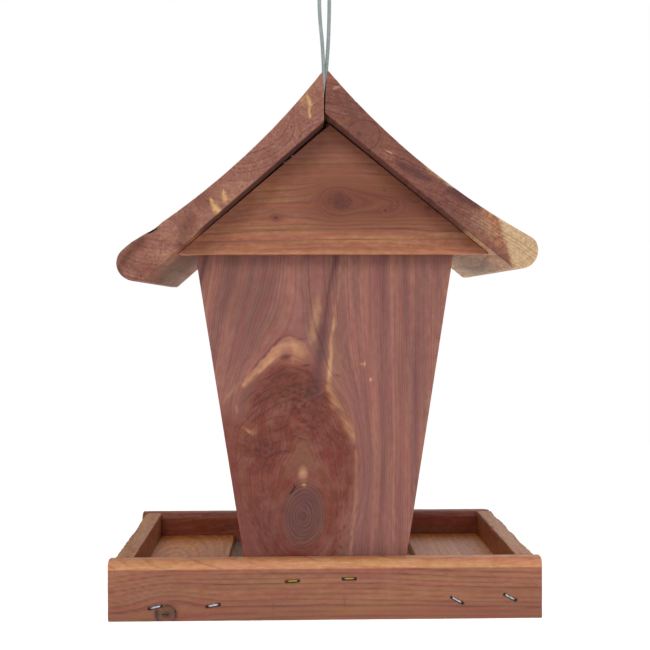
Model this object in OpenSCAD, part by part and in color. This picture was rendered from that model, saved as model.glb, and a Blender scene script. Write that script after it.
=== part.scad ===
// Hanging hopper bird feeder in red cedar.
// Origin: centre of the tray's underside. +X across the gable, +Y along the ridge, +Z up.
// The front faces -Y and the left is -X.

/* [Tray] */
// Length of the front and rear rails
rail_len = 220; // [214:1:228]
// How much the rear rail is cut short at its right end
rear_short = 3.5; // [0:0.5:4]
// Depth of the tray over the front and rear rails
tray_depth = 150; // [140:1:160]
// Height of all four rails
rail_h = 31; // [28:0.5:36]
// Thickness of all four rails
rail_t = 9.5; // [9:0.25:10.5]
// Radius of a long rail's rounded top edge: the front rail's outer one, the rear rail's inner one
rail_round = 4; // [2:0.5:5]
// Setback of the side rails from the ends of the long rails
side_inset = 2.5; // [1:0.5:4]
// Distance from the middle of the tray to the inner edge of each floor board
floor_in = 53; // [48:1:56]
// Thickness of the floor boards
floor_t = 11; // [9:0.5:12]
// Height of the floor boards' underside above the rails' underside
floor_z = 6; // [5:0.5:7]
// Thickness of the drain screen
screen_t = 0.8; // [0.6:0.1:1]
// Depth that the drain screen is let into each floor board
screen_let = 3; // [2:0.5:4]

/* [Hopper] */
// Thickness of the end boards
end_t = 11; // [10:0.5:12]
// Half-width of the end boards level with the top of the tray
end_w = 42; // [40:0.5:43]
// Gain in half-width per unit of height
end_taper = 0.1557; // [0.15:0.001:0.158]
// Height of the flat top of the end boards
end_top = 199; // [197:0.5:201]
// Thickness of the clear windows
window_t = 2; // [1.8:0.1:2.1]
// Height of the windows' lower edge
window_bottom = 27; // [24:1:30]
// Height of the windows' upper edge
window_top = 183; // [178:1:184]
// Depth of the window kerfs
kerf_depth = 4; // [3:0.5:5]
// Distance of the kerf's middle from the board's tapered edge
kerf_edge = 5; // [4.5:0.25:6]
// Width of the crossbar that carries the cord
bar_w = 19; // [17:1:24]
// Height of the crossbar's top
bar_top = 195; // [193:0.5:197]
// Thickness of the crossbar
bar_t = 19; // [16:1:20]

/* [Roof] */
// Pitch of the left roof board in degrees
pitch_left = 41; // [40.5:0.25:41.5]
// Pitch of the right roof board in degrees
pitch_right = 39.3; // [39:0.1:40]
// Height of the left board's underside at the ridge
ridge_left = 249.3; // [249:0.1:250]
// Height of the right board's underside at the ridge
ridge_right = 253.7; // [253:0.1:254.5]
// Sideways offset of the ridge from the middle of the tray
roof_x = -0.5; // [-0.6:0.1:0.2]
// Length of the roof boards along the ridge
roof_len = 184; // [172:1:192]
// Distance down the slope to the outermost point of the left eave
slope_left = 124.3; // [122:0.1:127]
// Distance down the slope to the outermost point of the right eave
slope_right = 126; // [123:0.1:128]
// Thickness of the left board at the thinnest point of the scoop
scoop_left = 12.8; // [12:0.1:13.2]
// Thickness of the right board at the thinnest point of the scoop
scoop_right = 11.2; // [11:0.1:12]
// Radius of the scooped top
scoop_r = 360; // [355:1:400]
// Distance down the slope to the thinnest point
scoop_at = 52; // [50:0.5:55]
// Height of the bullnose at the eaves
eave_h = 17.6; // [16.6:0.1:18]
// Upper radius of the left eave
eave_round_left = 8.5; // [7:0.1:9]
// Upper radius of the right eave
eave_round_right = 9.2; // [8.5:0.1:9.6]
// Lower radius of the left eave, above the flat under it
eave_under_left = 9.6; // [9:0.1:10.5]
// Lower radius of the right eave, above the flat under it
eave_under_right = 8.8; // [8.4:0.1:9.6]
// Height of the ridge's blunt top
ridge_top = 274.2; // [273.5:0.1:274.5]
// Gap between the two boards at the ridge
seam = 0.7; // [0.3:0.1:0.8]
// Radius of the cord hole through the ridge
cord_hole_r = 6.35; // [6.3:0.05:7]

/* [Gables] */
// Thickness of the gable boards
gable_t = 9.2; // [8.5:0.1:10]
// Height of the gables' lower edge
gable_base = 185; // [182:0.5:187]
// Clearance between the end boards and the gables that slide over them
gable_gap = 0.3; // [0.2:0.1:0.8]
// How much flatter than the roof board the gable's left slope is sawn, in degrees
gable_error_left = 0.6; // [0.1:0.1:1.2]
// How much flatter than the roof board the gable's right slope is sawn, in degrees
gable_error_right = 0.3; // [0.1:0.1:1.2]

/* [Cord] */
// Diameter of the braided cord
cord_d = 2.5; // [2.2:0.1:2.6]
// Height of the top of the hanging eye
eye_top = 430; // [426:1:440]
// Inner half-width of the hanging eye
eye_half = 9.75; // [8:0.25:11]
// Sideways lean of the two strands above the ridge
cord_lean = 1.8; // [0:0.1:1.8]
// Radius of the cord hole in the crossbar
bar_hole_r = 3.5; // [3.2:0.1:4]

/* [Staples] */
// Width of the staple crowns
crown = 6.3; // [6:0.1:6.6]
// Width of the staple wire
wire = 1.1; // [0.9:0.05:1.2]
// Length of the short staples' legs
leg = 15; // [13:0.5:17]
// Length of the roof staples' legs
roof_leg = 25; // [20:1:28]

/* [Hidden] */
$fn = 64;

margin = 1; // how far cuts run past the faces they open

// Rail faces, measured from the middle of the tray
y_out = tray_depth / 2;
y_in = y_out - rail_t;
side_out = rail_len / 2 - side_inset;
side_in = side_out - rail_t;
rail_soft = 1.5; // radius of a long rail's other top edge

screen_z = floor_z + 0.6 * floor_t - 0.5;
screen_face_gap = 0.1; // between the screen's faces and its kerf
screen_edge_gap = 0.2; // beyond the screen's edges

end_in = y_in - end_t;
end_foot = screen_z + screen_t + 0.3;
end_w_z = 31.2; // height at which end_w is taken
taper_deg = atan(end_taper);
window_gap = 0.2; // around the windows, in their kerfs
bar_low = bar_top - bar_t;

roof_gap = 0.1; // between the roof's underside and the boards below it
gable_in = y_in + gable_gap;
gable_y = gable_in + gable_t / 2;

// Slots that the staple gun's nose leaves
slot_l = crown + 1.3;
slot_w = wire + 0.6;
rail_slot = 0.9; // depths
bar_slot = 1.25;
roof_slot = 1.2;

// Depth of the staple crowns below the surface
rail_sink = 0.15;
bar_sink = 0.1;
roof_sink = 0.05;
bar_leg = 20; // length of the crossbar staples' legs

// [x, z, tilt]: staples through the long rails into the floor boards
floor_staples = [[-86.1, floor_z + 1.3, -12], [-57, floor_z + 2, -10],
    [66.5, floor_z + 3.6, 28], [93.5, floor_z + 4.9, 27]];
// [x, z, tilt]: staples through the long rails into the end boards' feet
foot_staples = [[-16.9, 20, -4], [11.8, 21, -1]];
// [y, z, tilt]: staples through the side rails into the floor boards
side_staples = [[-38, floor_z + 3.5, 8], [36, floor_z + 4.4, -14]];
// [x, z, tilt]: staples through the end boards into the crossbar
bar_staples = [[-0.6, bar_low + 14, 3]];
// [distance down the slope, turn]: staples through the roof boards into the gables
roof_staples = [[24, 6], [72, -9]];

function arc(center, radius, from, to, steps) =
    [for (i = [0:steps]) let (angle = from + (to - from) * i / steps)
        center + radius * [cos(angle), sin(angle)]];

// Half-width of the end boards at height z
function half_w(z) = end_w + (z - end_w_z) * end_taper;

// Height just below a roof board's underside, at a level distance run from the ridge
function slope_z(ridge_z, pitch, run) = ridge_z - roof_gap / cos(pitch) - run * tan(pitch);

// ---- staples ----

// U-shaped staple: crown along X, legs towards +Y
module staple(leg_len) {
    translate([0, 0, -wire / 2]) linear_extrude(height = wire) difference() {
        translate([-crown / 2, 0]) square([crown, leg_len]);
        translate([-crown / 2 + wire, wire]) square([crown - 2 * wire, leg_len]);
    }
}

// Slot for a staple, cut towards +Y
module staple_slot(depth) {
    translate([-slot_l / 2, -margin, -slot_w / 2]) cube([slot_l, margin + depth, slot_w]);
}

// Puts a staple into a face that looks towards -Y
module place_front(station, face_y) {
    translate([station[0], face_y, station[1]]) rotate([0, station[2], 0]) children();
}

// Puts a staple into a face that looks towards +X
module place_side(station, face_x) {
    translate([face_x, station[0], station[1]]) rotate([0, 0, 90])
        rotate([0, station[2], 0]) children();
}

// Puts the staples on a slope that falls towards +X, legs down into both gables
module place_roof(ridge_z, pitch, thin) {
    for (station = roof_staples, end = [-1, 1]) {
        down = station[0];
        top = thin + scoop_r - sqrt(scoop_r * scoop_r - (down - scoop_at) * (down - scoop_at));
        translate([0, end * gable_y, ridge_z]) rotate([0, pitch, 0])
            translate([down, 0, top]) rotate([0, 0, station[1] * end])
            rotate([-90, 0, 0]) children();
    }
}

// Staples through the front face, and their mirror images through the rear face
module front_rear_staples(stations, crown_y, leg_len) {
    for (m = [0, 1], station = stations)
        mirror([0, m, 0]) place_front(station, crown_y) staple(leg_len);
}

// ---- tray ----

// Front long rail, its top edges rounded by round_out and round_in, cut short at +X
module long_rail(round_out, round_in, short) {
    round_foot = 0.8;
    difference() {
        translate([-short / 2, -y_out, 0]) rotate([90, 0, 90])
            linear_extrude(height = rail_len - short, center = true) polygon(concat(
                arc([round_foot, round_foot], round_foot, 270, 180, 3),
                arc([round_out, rail_h - round_out], round_out, 180, 90, 10),
                arc([rail_t - round_in, rail_h - round_in], round_in, 90, 0, 10),
                [[rail_t, 0]]));
        for (station = concat(floor_staples, foot_staples))
            place_front(station, -y_out) staple_slot(rail_slot);
    }
}

// Side rail on the +X side
module side_rail() {
    chamfer = 0.6;
    round_out = 1;
    round_in = 0.8;
    difference() {
        rotate([90, 0, 0]) linear_extrude(height = 2 * y_in, center = true) polygon(concat(
            [[side_in, 0], [side_out - chamfer, 0], [side_out, chamfer]],
            arc([side_out - round_out, rail_h - round_out], round_out, 0, 90, 4),
            arc([side_in + round_in, rail_h - round_in], round_in, 90, 180, 4)));
        for (station = side_staples)
            place_side(station, side_out) staple_slot(rail_slot);
    }
}

// Floor board on the +X side, with a saw kerf that holds the screen
module floor_board() {
    difference() {
        translate([floor_in, -y_in, floor_z]) cube([side_in - floor_in, 2 * y_in, floor_t]);
        translate([floor_in - margin, -y_in - margin, screen_z - screen_face_gap])
            cube([margin + screen_let + screen_edge_gap, 2 * (y_in + margin),
                screen_t + 2 * screen_face_gap]);
    }
}

module tray_front_rail() { color("#a9765a") long_rail(rail_round, rail_soft, 0); }
module tray_rear_rail() {
    color("#8f5a4a") mirror([0, 1, 0]) long_rail(rail_soft, rail_round, rear_short);
}
module tray_left_rail() { color("#9c6a50") mirror([1, 0, 0]) side_rail(); }
module tray_right_rail() { color("#9c6a50") side_rail(); }
module floor_board_left() { color("#c39a74") mirror([1, 0, 0]) floor_board(); }
module floor_board_right() { color("#c8a27c") floor_board(); }

module drain_screen() {
    half_x = floor_in + screen_let;
    half_y = y_in - screen_edge_gap;
    color("#8b8d8c") translate([-half_x, -half_y, screen_z])
        cube([2 * half_x, 2 * half_y, screen_t]);
}

// ---- hopper ----

// Section of the space below both roof boards
module under_roof() {
    far = 300;
    polygon([
        [-far, slope_z(ridge_left, pitch_left, roof_x + far)],
        [roof_x, slope_z(ridge_left, pitch_left, 0)],
        [roof_x, slope_z(ridge_right, pitch_right, 0)],
        [far, slope_z(ridge_right, pitch_right, far - roof_x)],
        [far, -far],
        [-far, -far]]);
}

// Tilted plate on the +X side: a window, or the kerf around it
module window_plate(thickness, half_y, bottom, top) {
    middle_x = half_w(bottom) - kerf_edge / cos(taper_deg);
    translate([middle_x, 0, bottom]) rotate([0, taper_deg, 0])
        translate([-thickness / 2, -half_y, 0])
        cube([thickness, 2 * half_y, (top - bottom) / cos(taper_deg)]);
}

// Window on the +X side
module window() {
    window_plate(window_t, end_in + kerf_depth - window_gap, window_bottom, window_top);
}

// Front end board
module end_board() {
    kerf_past = 20; // the kerfs run out through the board's top
    difference() {
        translate([0, -end_in, 0]) rotate([90, 0, 0])
            linear_extrude(height = end_t) intersection() {
                polygon([[-half_w(end_foot), end_foot], [half_w(end_foot), end_foot],
                    [half_w(end_top), end_top], [-half_w(end_top), end_top]]);
                under_roof();
            }
        for (m = [0, 1]) mirror([m, 0, 0])
            window_plate(window_t + 2 * window_gap, end_in + kerf_depth,
                window_bottom - 0.1, end_top + kerf_past);
        for (station = bar_staples)
            place_front(station, -y_in) staple_slot(bar_slot);
    }
}

module end_board_front() { color("#a5705c") end_board(); }
module end_board_rear() { color("#a5705c") mirror([0, 1, 0]) end_board(); }
module window_left() { color("#dfe9ec", 0.35) mirror([1, 0, 0]) window(); }
module window_right() { color("#dfe9ec", 0.35) window(); }

module hanger_crossbar() {
    color("#b98563") difference() {
        translate([-bar_w / 2, -end_in, bar_low]) cube([bar_w, 2 * end_in, bar_t]);
        translate([0, 0, bar_low - margin]) cylinder(r = bar_hole_r, h = bar_t + 2 * margin);
    }
}

// ---- roof ----

// Section of a roof board: x down the slope, y out of it. A flat runs in under the
// lower eave radius and lies level once the board is pitched.
module roof_profile(pitch, len, thin, round_top, round_under) {
    blank_h = 30; // board before the scoop is cut
    blank_back = 30; // run past the ridge, trimmed off later
    land = 18; // from the eave to the step up to the blank
    nose_y = eave_h - round_top;
    flat_x = len - round_under + round_under * sin(pitch);
    flat_y = nose_y - round_under * cos(pitch);
    difference() {
        polygon(concat(
            [[-blank_back, 0], [flat_x - flat_y / tan(pitch), 0]],
            arc([len - round_under, nose_y], round_under, 270 + pitch, 360, 10),
            arc([len - round_top, nose_y], round_top, 0, 90, 10),
            [[len - land, eave_h], [len - land, blank_h], [-blank_back, blank_h]]));
        translate([scoop_at, thin + scoop_r]) circle(r = scoop_r, $fn = 720);
    }
}

// Roof board that falls towards +X from a ridge on the Z axis.
// The cord hole stays over the crossbar, hole_x from the ridge line.
module roof_board(ridge_z, pitch, len, thin, round_top, round_under, hole_x) {
    trim = 60; // size of the blocks that trim the ridge
    bevel_h = 5; // bevel along the seam, below the blunt top
    bevel_past = 2; // and its run above that top
    bevel_w = 0.9;
    difference() {
        translate([0, 0, ridge_z]) rotate([0, pitch, 0]) rotate([90, 0, 0])
            linear_extrude(height = roof_len, center = true)
            roof_profile(pitch, len, thin, round_top, round_under);
        // the far side of the seam
        translate([seam / 2 - trim, -roof_len, ridge_z - trim])
            cube([trim, 2 * roof_len, 2 * trim]);
        // above the blunt top
        translate([-margin, -roof_len, ridge_top]) cube([trim, 2 * roof_len, trim]);
        rotate([90, 0, 0]) linear_extrude(height = 2 * roof_len, center = true) polygon([
            [-margin, ridge_top - bevel_h],
            [seam / 2, ridge_top - bevel_h],
            [seam / 2 + bevel_w, ridge_top + bevel_past],
            [-margin, ridge_top + bevel_past]]);
        translate([hole_x, 0, ridge_z - 30]) cylinder(r = cord_hole_r, h = 80);
        place_roof(ridge_z, pitch, thin) staple_slot(roof_slot);
    }
}

module roof_panel_left() {
    color("#a66c55") translate([roof_x, 0, 0]) mirror([1, 0, 0])
        roof_board(ridge_left, pitch_left, slope_left, scoop_left,
            eave_round_left, eave_under_left, hole_x = roof_x);
}
module roof_panel_right() {
    color("#b47e62") translate([roof_x, 0, 0])
        roof_board(ridge_right, pitch_right, slope_right, scoop_right,
            eave_round_right, eave_under_right, hole_x = -roof_x);
}

// Level distance from the ridge to a gable's lower corner
function gable_run(ridge_z, pitch) = (slope_z(ridge_z, pitch, 0) - gable_base) / tan(pitch);

// Front gable: both slopes are sawn flatter than the roof, so it touches at the corners only
module gable() {
    left_x = roof_x - gable_run(ridge_left, pitch_left);
    right_x = roof_x + gable_run(ridge_right, pitch_right);
    left_grade = tan(pitch_left - gable_error_left);
    right_grade = tan(pitch_right - gable_error_right);
    peak_h = (right_x - left_x) * left_grade * right_grade / (left_grade + right_grade);
    translate([0, -gable_in, 0]) rotate([90, 0, 0]) linear_extrude(height = gable_t)
        polygon([[left_x, gable_base], [right_x, gable_base],
            [left_x + peak_h / left_grade, gable_base + peak_h]]);
}

module gable_front() { color("#b57a56") gable(); }
module gable_rear() { color("#b57a56") mirror([0, 1, 0]) gable(); }

// ---- cord: one length that rises through the roof, turns in the eye and returns ----

eye_r = eye_half + cord_d / 2; // to the cord's centre line
eye_z = eye_top - cord_d / 2 - eye_r;
flare_z = 386; // where the strands start to open into the eye
flare_half = 3;
// [z, half the spacing of the strands] below the flare
strand_spacing = [[ridge_top, cord_d / 2 + 0.05], [333, 2.85], [flare_z, flare_half]];
// Heights of the stations along a strand
strand_z = [bar_low - 4, 190, 230, 262, ridge_top - 2, ridge_top + 3, 290, 306, 320, 333,
    350, 368, flare_z, 391, 396, 401, 406, eye_z - 2];

// Eases from 0 to 1
function smooth(t) = t <= 0 ? 0 : t >= 1 ? 1 : t * t * (3 - 2 * t);
function spread(z) = lookup(z, strand_spacing)
    + (eye_r - flare_half) * smooth((z - flare_z) / (eye_z - flare_z));
function lean(z) = cord_lean * smooth((z - ridge_top + 20) / 60);

// [x, z] of the centre line: up the left strand, over the eye, down the right strand
cord_path = concat(
    [for (z = strand_z) [lean(z) - spread(z), z]],
    arc([lean(eye_z), eye_z], eye_r, 180, 0, 12),
    [for (i = [len(strand_z) - 1:-1:0]) let (z = strand_z[i]) [lean(z) + spread(z), z]]);

// Round tube along a path of [x, z] points
module tube(path, radius, sides) {
    last = len(path) - 1;
    points = [for (i = [0:last])
        let (
            step = path[min(i + 1, last)] - path[max(i - 1, 0)],
            along = step / norm(step))
        for (k = [0:sides - 1])
            let (angle = 360 * k / sides, side = radius * cos(angle))
            [path[i][0] + side * along[1], radius * sin(angle), path[i][1] - side * along[0]]];
    // each panel between two rings is split into two triangles
    faces = concat(
        [[for (k = [0:sides - 1]) k]],
        [for (i = [0:last - 1], k = [0:sides - 1])
            let (ring = i * sides, next = ring + sides, k2 = (k + 1) % sides)
            each [[ring + k, next + k, next + k2], [ring + k, next + k2, ring + k2]]],
        [[for (k = [sides - 1:-1:0]) last * sides + k]]);
    polyhedron(points = points, faces = faces, convexity = 6);
}

// Knot that bears on the crossbar's underside
module knot() {
    knot_r = 6;
    half_h = 5;
    translate([0, 0, bar_low - 2 * half_h - 0.1]) rotate_extrude($fn = 24) polygon(concat(
        [[0, 2 * half_h]],
        [for (angle = [70:-20:-70]) [knot_r * cos(angle), half_h + half_h * sin(angle)]],
        [[0, 0]]));
}

module hanging_cord() {
    color("#a9bcb6") {
        tube(cord_path, cord_d / 2, sides = 12);
        knot();
    }
}

// ---- staple nodes ----

module staples_floor() {
    color("#c9cbcc") front_rear_staples(floor_staples, -y_out + rail_sink, leg);
}

module staples_end_boards() {
    color("#c49a45") front_rear_staples(foot_staples, -y_out + rail_sink, leg);
}

module staples_side_rails() {
    color("#c9cbcc") for (m = [0, 1], station = side_staples)
        mirror([m, 0, 0]) place_side(station, side_out - rail_sink) staple(leg);
}

module staples_roof() {
    color("#c9cbcc") translate([roof_x, 0, 0]) {
        mirror([1, 0, 0]) place_roof(ridge_left, pitch_left, scoop_left)
            translate([0, roof_sink, 0]) staple(roof_leg);
        place_roof(ridge_right, pitch_right, scoop_right)
            translate([0, roof_sink, 0]) staple(roof_leg);
    }
}

module staples_crossbar() {
    color("#c9cbcc") front_rear_staples(bar_staples, -y_in + bar_sink, bar_leg);
}

tray_front_rail();
tray_rear_rail();
tray_left_rail();
tray_right_rail();
floor_board_left();
floor_board_right();
drain_screen();
end_board_front();
end_board_rear();
window_left();
window_right();
hanger_crossbar();
hanging_cord();
roof_panel_left();
roof_panel_right();
gable_front();
gable_rear();
staples_floor();
staples_end_boards();
staples_side_rails();
staples_roof();
staples_crossbar();
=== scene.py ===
"""Looks of a hanging cedar feeder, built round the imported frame.

Lengths in the builders are millimetres in the row frame: X runs from left to right across the
gables, Y from the front (-Y) to the rear, Z up. The tray's long rails run along X; the roof's ridge
runs along Y. Side -1 is the left (or front) one of a pair and side 1 the right (or rear) one.
"""

from functools import partial, reduce
from itertools import product
from math import atan, atan2, ceil, copysign, cos, pi, radians, sin, tan
from types import SimpleNamespace

import bpy
import numpy as np
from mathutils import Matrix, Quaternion, Vector
from mathutils.kdtree import KDTree


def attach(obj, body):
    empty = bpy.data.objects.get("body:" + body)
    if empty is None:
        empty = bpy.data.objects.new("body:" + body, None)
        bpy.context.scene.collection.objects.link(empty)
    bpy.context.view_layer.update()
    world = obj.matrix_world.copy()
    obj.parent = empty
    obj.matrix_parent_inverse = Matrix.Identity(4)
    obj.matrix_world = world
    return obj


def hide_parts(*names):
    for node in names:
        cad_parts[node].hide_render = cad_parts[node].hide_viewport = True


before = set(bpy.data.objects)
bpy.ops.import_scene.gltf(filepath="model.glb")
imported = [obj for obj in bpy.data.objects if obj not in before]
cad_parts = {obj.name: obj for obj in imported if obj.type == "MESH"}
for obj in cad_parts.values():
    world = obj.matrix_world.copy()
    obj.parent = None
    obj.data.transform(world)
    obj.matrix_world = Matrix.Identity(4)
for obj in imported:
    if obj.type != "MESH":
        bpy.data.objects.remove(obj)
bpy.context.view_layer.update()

# ------------------------------------------------------------------ driving sizes

MM = 0.001

RAIL_HEIGHT = 31.0
LONG_RAIL_OUT, LONG_RAIL_IN = 75.0, 65.5  # outer and inner faces, along Y
SIDE_RAIL_OUT, SIDE_RAIL_IN = 107.5, 98.0  # outer and inner faces, along X
SCREEN_Z = 12.5

END_TAPER = 0.1557  # how far an end board's edge moves out per millimetre of height
END_TAPER_ANGLE = atan(END_TAPER)
END_TOP, END_FOOT = 199.0, 13.4
END_OUT, END_IN = 65.5, 54.5
WINDOW_INSET = 5 / cos(END_TAPER_ANGLE)  # from an end board's edge to the pane's middle

GABLE_BASE = 185.0
RIDGE_X, RIDGE_TOP = -0.5, 274.2
ROOF_GAP = 0.1  # between the roof's underside and the boards beneath it
ROOF_HALF_RUN = 92.0
# z is the height of the underside at the ridge; upper and lower are the eave's roundings
ROOF = {
    -1: SimpleNamespace(z=249.3, pitch=radians(41.0), length=124.3, thick=12.8,
                        upper=8.5, lower=9.6, inner_x=0.35, ridge_gap=0.55),
    1: SimpleNamespace(z=253.7, pitch=radians(39.3), length=126.0, thick=11.2,
                       upper=9.2, lower=8.8, inner_x=0.2, ridge_gap=0.0),
}
SCOOP_RADIUS, SCOOP_START, EAVE_THICK = 360.0, 52.0, 17.6

# staples: place along the board, height, turn in degrees
FLOOR_STAPLES = [(-86.1, 7.3, -12), (-57, 8.0, -10), (66.5, 9.6, 28), (93.5, 10.9, 27)]
FOOT_STAPLES = [(-16.9, 20, -4), (11.8, 21, -1)]
SIDE_STAPLES = [(-38, 9.5, 8), (36, 10.4, -14)]
BAR_STAPLES = [(-0.6, 190, 3)]
ROOF_STAPLES = [(24, 6), (72, -9)]  # distance down the slope, turn in degrees
ROOF_STAPLE_Y = 70.4
POCKET_HALF_LENGTH, POCKET_HALF_WIDTH = 3.75, 0.64


def half_width(z):
    """Half width of an end board at height z."""
    return 42 + (z - 31.2) * END_TAPER


# ------------------------------------------------------------------ noise and masks

def columns(*parts):
    """Columns, or plain numbers, side by side as an array of points."""
    return np.stack(np.broadcast_arrays(*parts), 1)


class Perlin:
    """Gradient noise of points in any units, about -1 to 1."""

    def __init__(self, seed):
        draws = np.random.default_rng(seed)
        self.order = draws.permutation(256)
        slopes = draws.normal(size=(256, 3))
        self.slopes = slopes / np.linalg.norm(slopes, axis=1)[:, None]

    def __call__(self, points):
        points = np.asarray(points, float)
        cell = np.floor(points).astype(int)
        inside = points - cell
        fade = inside * inside * inside * (inside * (inside * 6 - 15) + 10)
        total = np.zeros(len(points))
        for corner in product((0, 1), repeat=3):
            key = 0
            for axis in range(3):
                key = self.order[(key + cell[:, axis] + corner[axis]) & 255]
            share = np.where(corner, fade, 1 - fade).T
            height = np.einsum("ij,ij->i", self.slopes[key], inside - corner)
            total += share[0] * share[1] * share[2] * height
        return total * 1.5

    def fbm(self, points, octaves=3):
        """Octaves of noise, each half as strong and half as large as the one before."""
        total = sum(0.5**k * self(points * 2.0**k + 17.3 * k) for k in range(octaves))
        return total / sum(0.5**k for k in range(octaves))

    def line(self, along, lane):
        """Noise along a line; each lane is a line of its own."""
        return self(columns(along, lane, 0))


def ramp(start, end, x):
    """Smooth step from 0 at start to 1 at end."""
    share = np.clip((x - start) / (end - start), 0, 1)
    return share * share * (3 - 2 * share)


def bell(*offsets):
    """Bell curve of one or more offsets, 1 where all are zero."""
    return np.exp(-sum(offset**2 for offset in offsets))


def strongest(*masks):
    return reduce(np.maximum, masks)


def line_distance(points, line):
    """Distance of 2-D points to a polyline, and how far along it (0 to 1) the nearest spot is."""
    best = np.full(len(points), 1e9)
    share = np.zeros(len(points))
    line = np.asarray(line, float)
    count = len(line) - 1
    for k in range(count):
        way = line[k + 1] - line[k]
        part = np.clip(((points - line[k]) @ way) / (way @ way), 0, 1)
        reach = np.linalg.norm(points - (line[k] + part[:, None] * way), axis=1)
        nearer = reach < best
        best[nearer] = reach[nearer]
        share[nearer] = (k + part[nearer]) / count
    return best, share


def stroke(points, line, width, fade=(0.0, 0.0)):
    """Soft mask round a polyline. width may be a list, one per point of the line;
    fade is the share of each end that fades out."""
    distance, share = line_distance(points, line)
    if np.ndim(width):
        width = np.interp(share * (len(line) - 1), range(len(line)), width)
    mask = bell(distance / width)
    if fade[0]:
        mask = mask * ramp(0, fade[0], share)
    if fade[1]:
        mask = mask * ramp(0, fade[1], 1 - share)
    return mask


def strokes(points, *rows):
    """Strongest of several strokes. Rows: line, width, strength and, if any, fade."""
    return strongest(*(stroke(points, line, width, *fade) * strength
                       for line, width, strength, *fade in rows))


def oval(points, centre, radii, turn=0.0):
    """Elliptic radius: 1 on the rim. turn is in degrees."""
    offset = points - np.asarray(centre, float)
    turn = radians(turn)
    across = offset[:, 0] * cos(turn) + offset[:, 1] * sin(turn)
    up = -offset[:, 0] * sin(turn) + offset[:, 1] * cos(turn)
    return np.sqrt((across / radii[0]) ** 2 + (up / radii[1]) ** 2)


def blob(points, centre, radii, turn, hard):
    """Soft ellipse, full inside the elliptic radius hard."""
    return ramp(1.25, hard, oval(points, centre, radii, turn))


def blobs(points, *rows):
    """Strongest of several blobs. Rows: centre, radii, turn, hard, strength."""
    return strongest(*(blob(points, *shape) * strength for *shape, strength in rows))


# ------------------------------------------------------------------ shader networks

def linear(colour):
    """sRGB 0-255 triple to a linear colour."""
    shares = [value / 255.0 for value in colour]
    return (*(v / 12.92 if v <= 0.04045 else ((v + 0.055) / 1.055) ** 2.4 for v in shares), 1.0)


class Wire:
    """One output of a shader node; + and * add Math nodes, and - adds the negative number."""

    def __init__(self, net, socket):
        self.net, self.socket = net, socket

    def __add__(self, other):
        return self.net.math("ADD", self, other)

    def __radd__(self, other):
        return self.net.math("ADD", other, self)

    def __sub__(self, number):
        return self + -number

    def __mul__(self, other):
        return self.net.math("MULTIPLY", self, other)

    def smooth(self, start, end, to=(0.0, 1.0), kind="SMOOTHSTEP"):
        """Map start..end to the pair in to."""
        inputs = dict(enumerate((self, start, end, *to)))
        return self.net.wire(self.net.node("MapRange", inputs, interpolation_type=kind))

    def linear(self, start, end, to):
        return self.smooth(start, end, to, "LINEAR")


class Net:
    """A material's nodes, ending in a Principled shader."""

    def __init__(self, name):
        self.material = bpy.data.materials.new(name)
        self.material.use_nodes = True
        self.tree = self.material.node_tree
        self.tree.nodes.clear()
        output = self.node("OutputMaterial")
        self.shader = self.node("BsdfPrincipled")
        self.tree.links.new(self.shader.outputs[0], output.inputs[0])

    def put(self, socket, value):
        if isinstance(value, Wire):
            self.tree.links.new(value.socket, socket)
        else:
            socket.default_value = value

    def node(self, kind, inputs={}, **settings):
        made = self.tree.nodes.new("ShaderNode" + kind)
        for key, value in settings.items():
            setattr(made, key, value)
        for key, value in inputs.items():
            self.put(made.inputs[key], value)
        return made

    def wire(self, node, output=0):
        return Wire(self, node.outputs[output])

    def finish(self, **inputs):
        """Set the shader's inputs, underscores standing for spaces."""
        for key, value in inputs.items():
            self.put(self.shader.inputs[key.replace("_", " ")], value)
        return self.material

    def math(self, operation, *values, clamp=False):
        inputs = dict(enumerate(values))
        return self.wire(self.node("Math", inputs, operation=operation, use_clamp=clamp))

    def mix(self, share, first, second, mode="MIX"):
        inputs = {0: share, 6: first, 7: second}
        return self.wire(self.node("Mix", inputs, data_type="RGBA", blend_type=mode), 2)

    def tint(self, colour, factors):
        return self.mix(1.0, colour, (*factors, 1.0), "MULTIPLY")

    def noise(self, vector, scale, detail, rough):
        return self.wire(self.node("TexNoise", {"Vector": vector, "Scale": scale,
                                                "Detail": detail, "Roughness": rough}))

    def random(self, number):
        return self.wire(self.node("TexWhiteNoise", {"W": number}, noise_dimensions="1D"), "Value")

    def attribute(self, name):
        return self.node("Attribute", attribute_name=name)

    def scaled(self, vector, factors):
        return self.wire(self.node("VectorMath", {0: vector, 1: factors}, operation="MULTIPLY"))

    def split(self, kind, value):
        node = self.node("Separate" + kind, {0: value})
        return [Wire(self, output) for output in node.outputs]

    def coords(self):
        return self.wire(self.node("TexCoord"), "Object")

    def facing(self, axis):
        """1 where the surface faces along the axis, either way."""
        normal = self.wire(self.node("NewGeometry"), "Normal")
        dot = self.node("VectorMath", {0: normal, 1: axis}, operation="DOT_PRODUCT")
        return self.math("ABSOLUTE", self.wire(dot, "Value"))

    def bump(self, height, strength, distance):
        return self.wire(self.node("Bump", {"Strength": strength, "Distance": distance,
                                            "Height": height}))


# ------------------------------------------------------------------ materials

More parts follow.
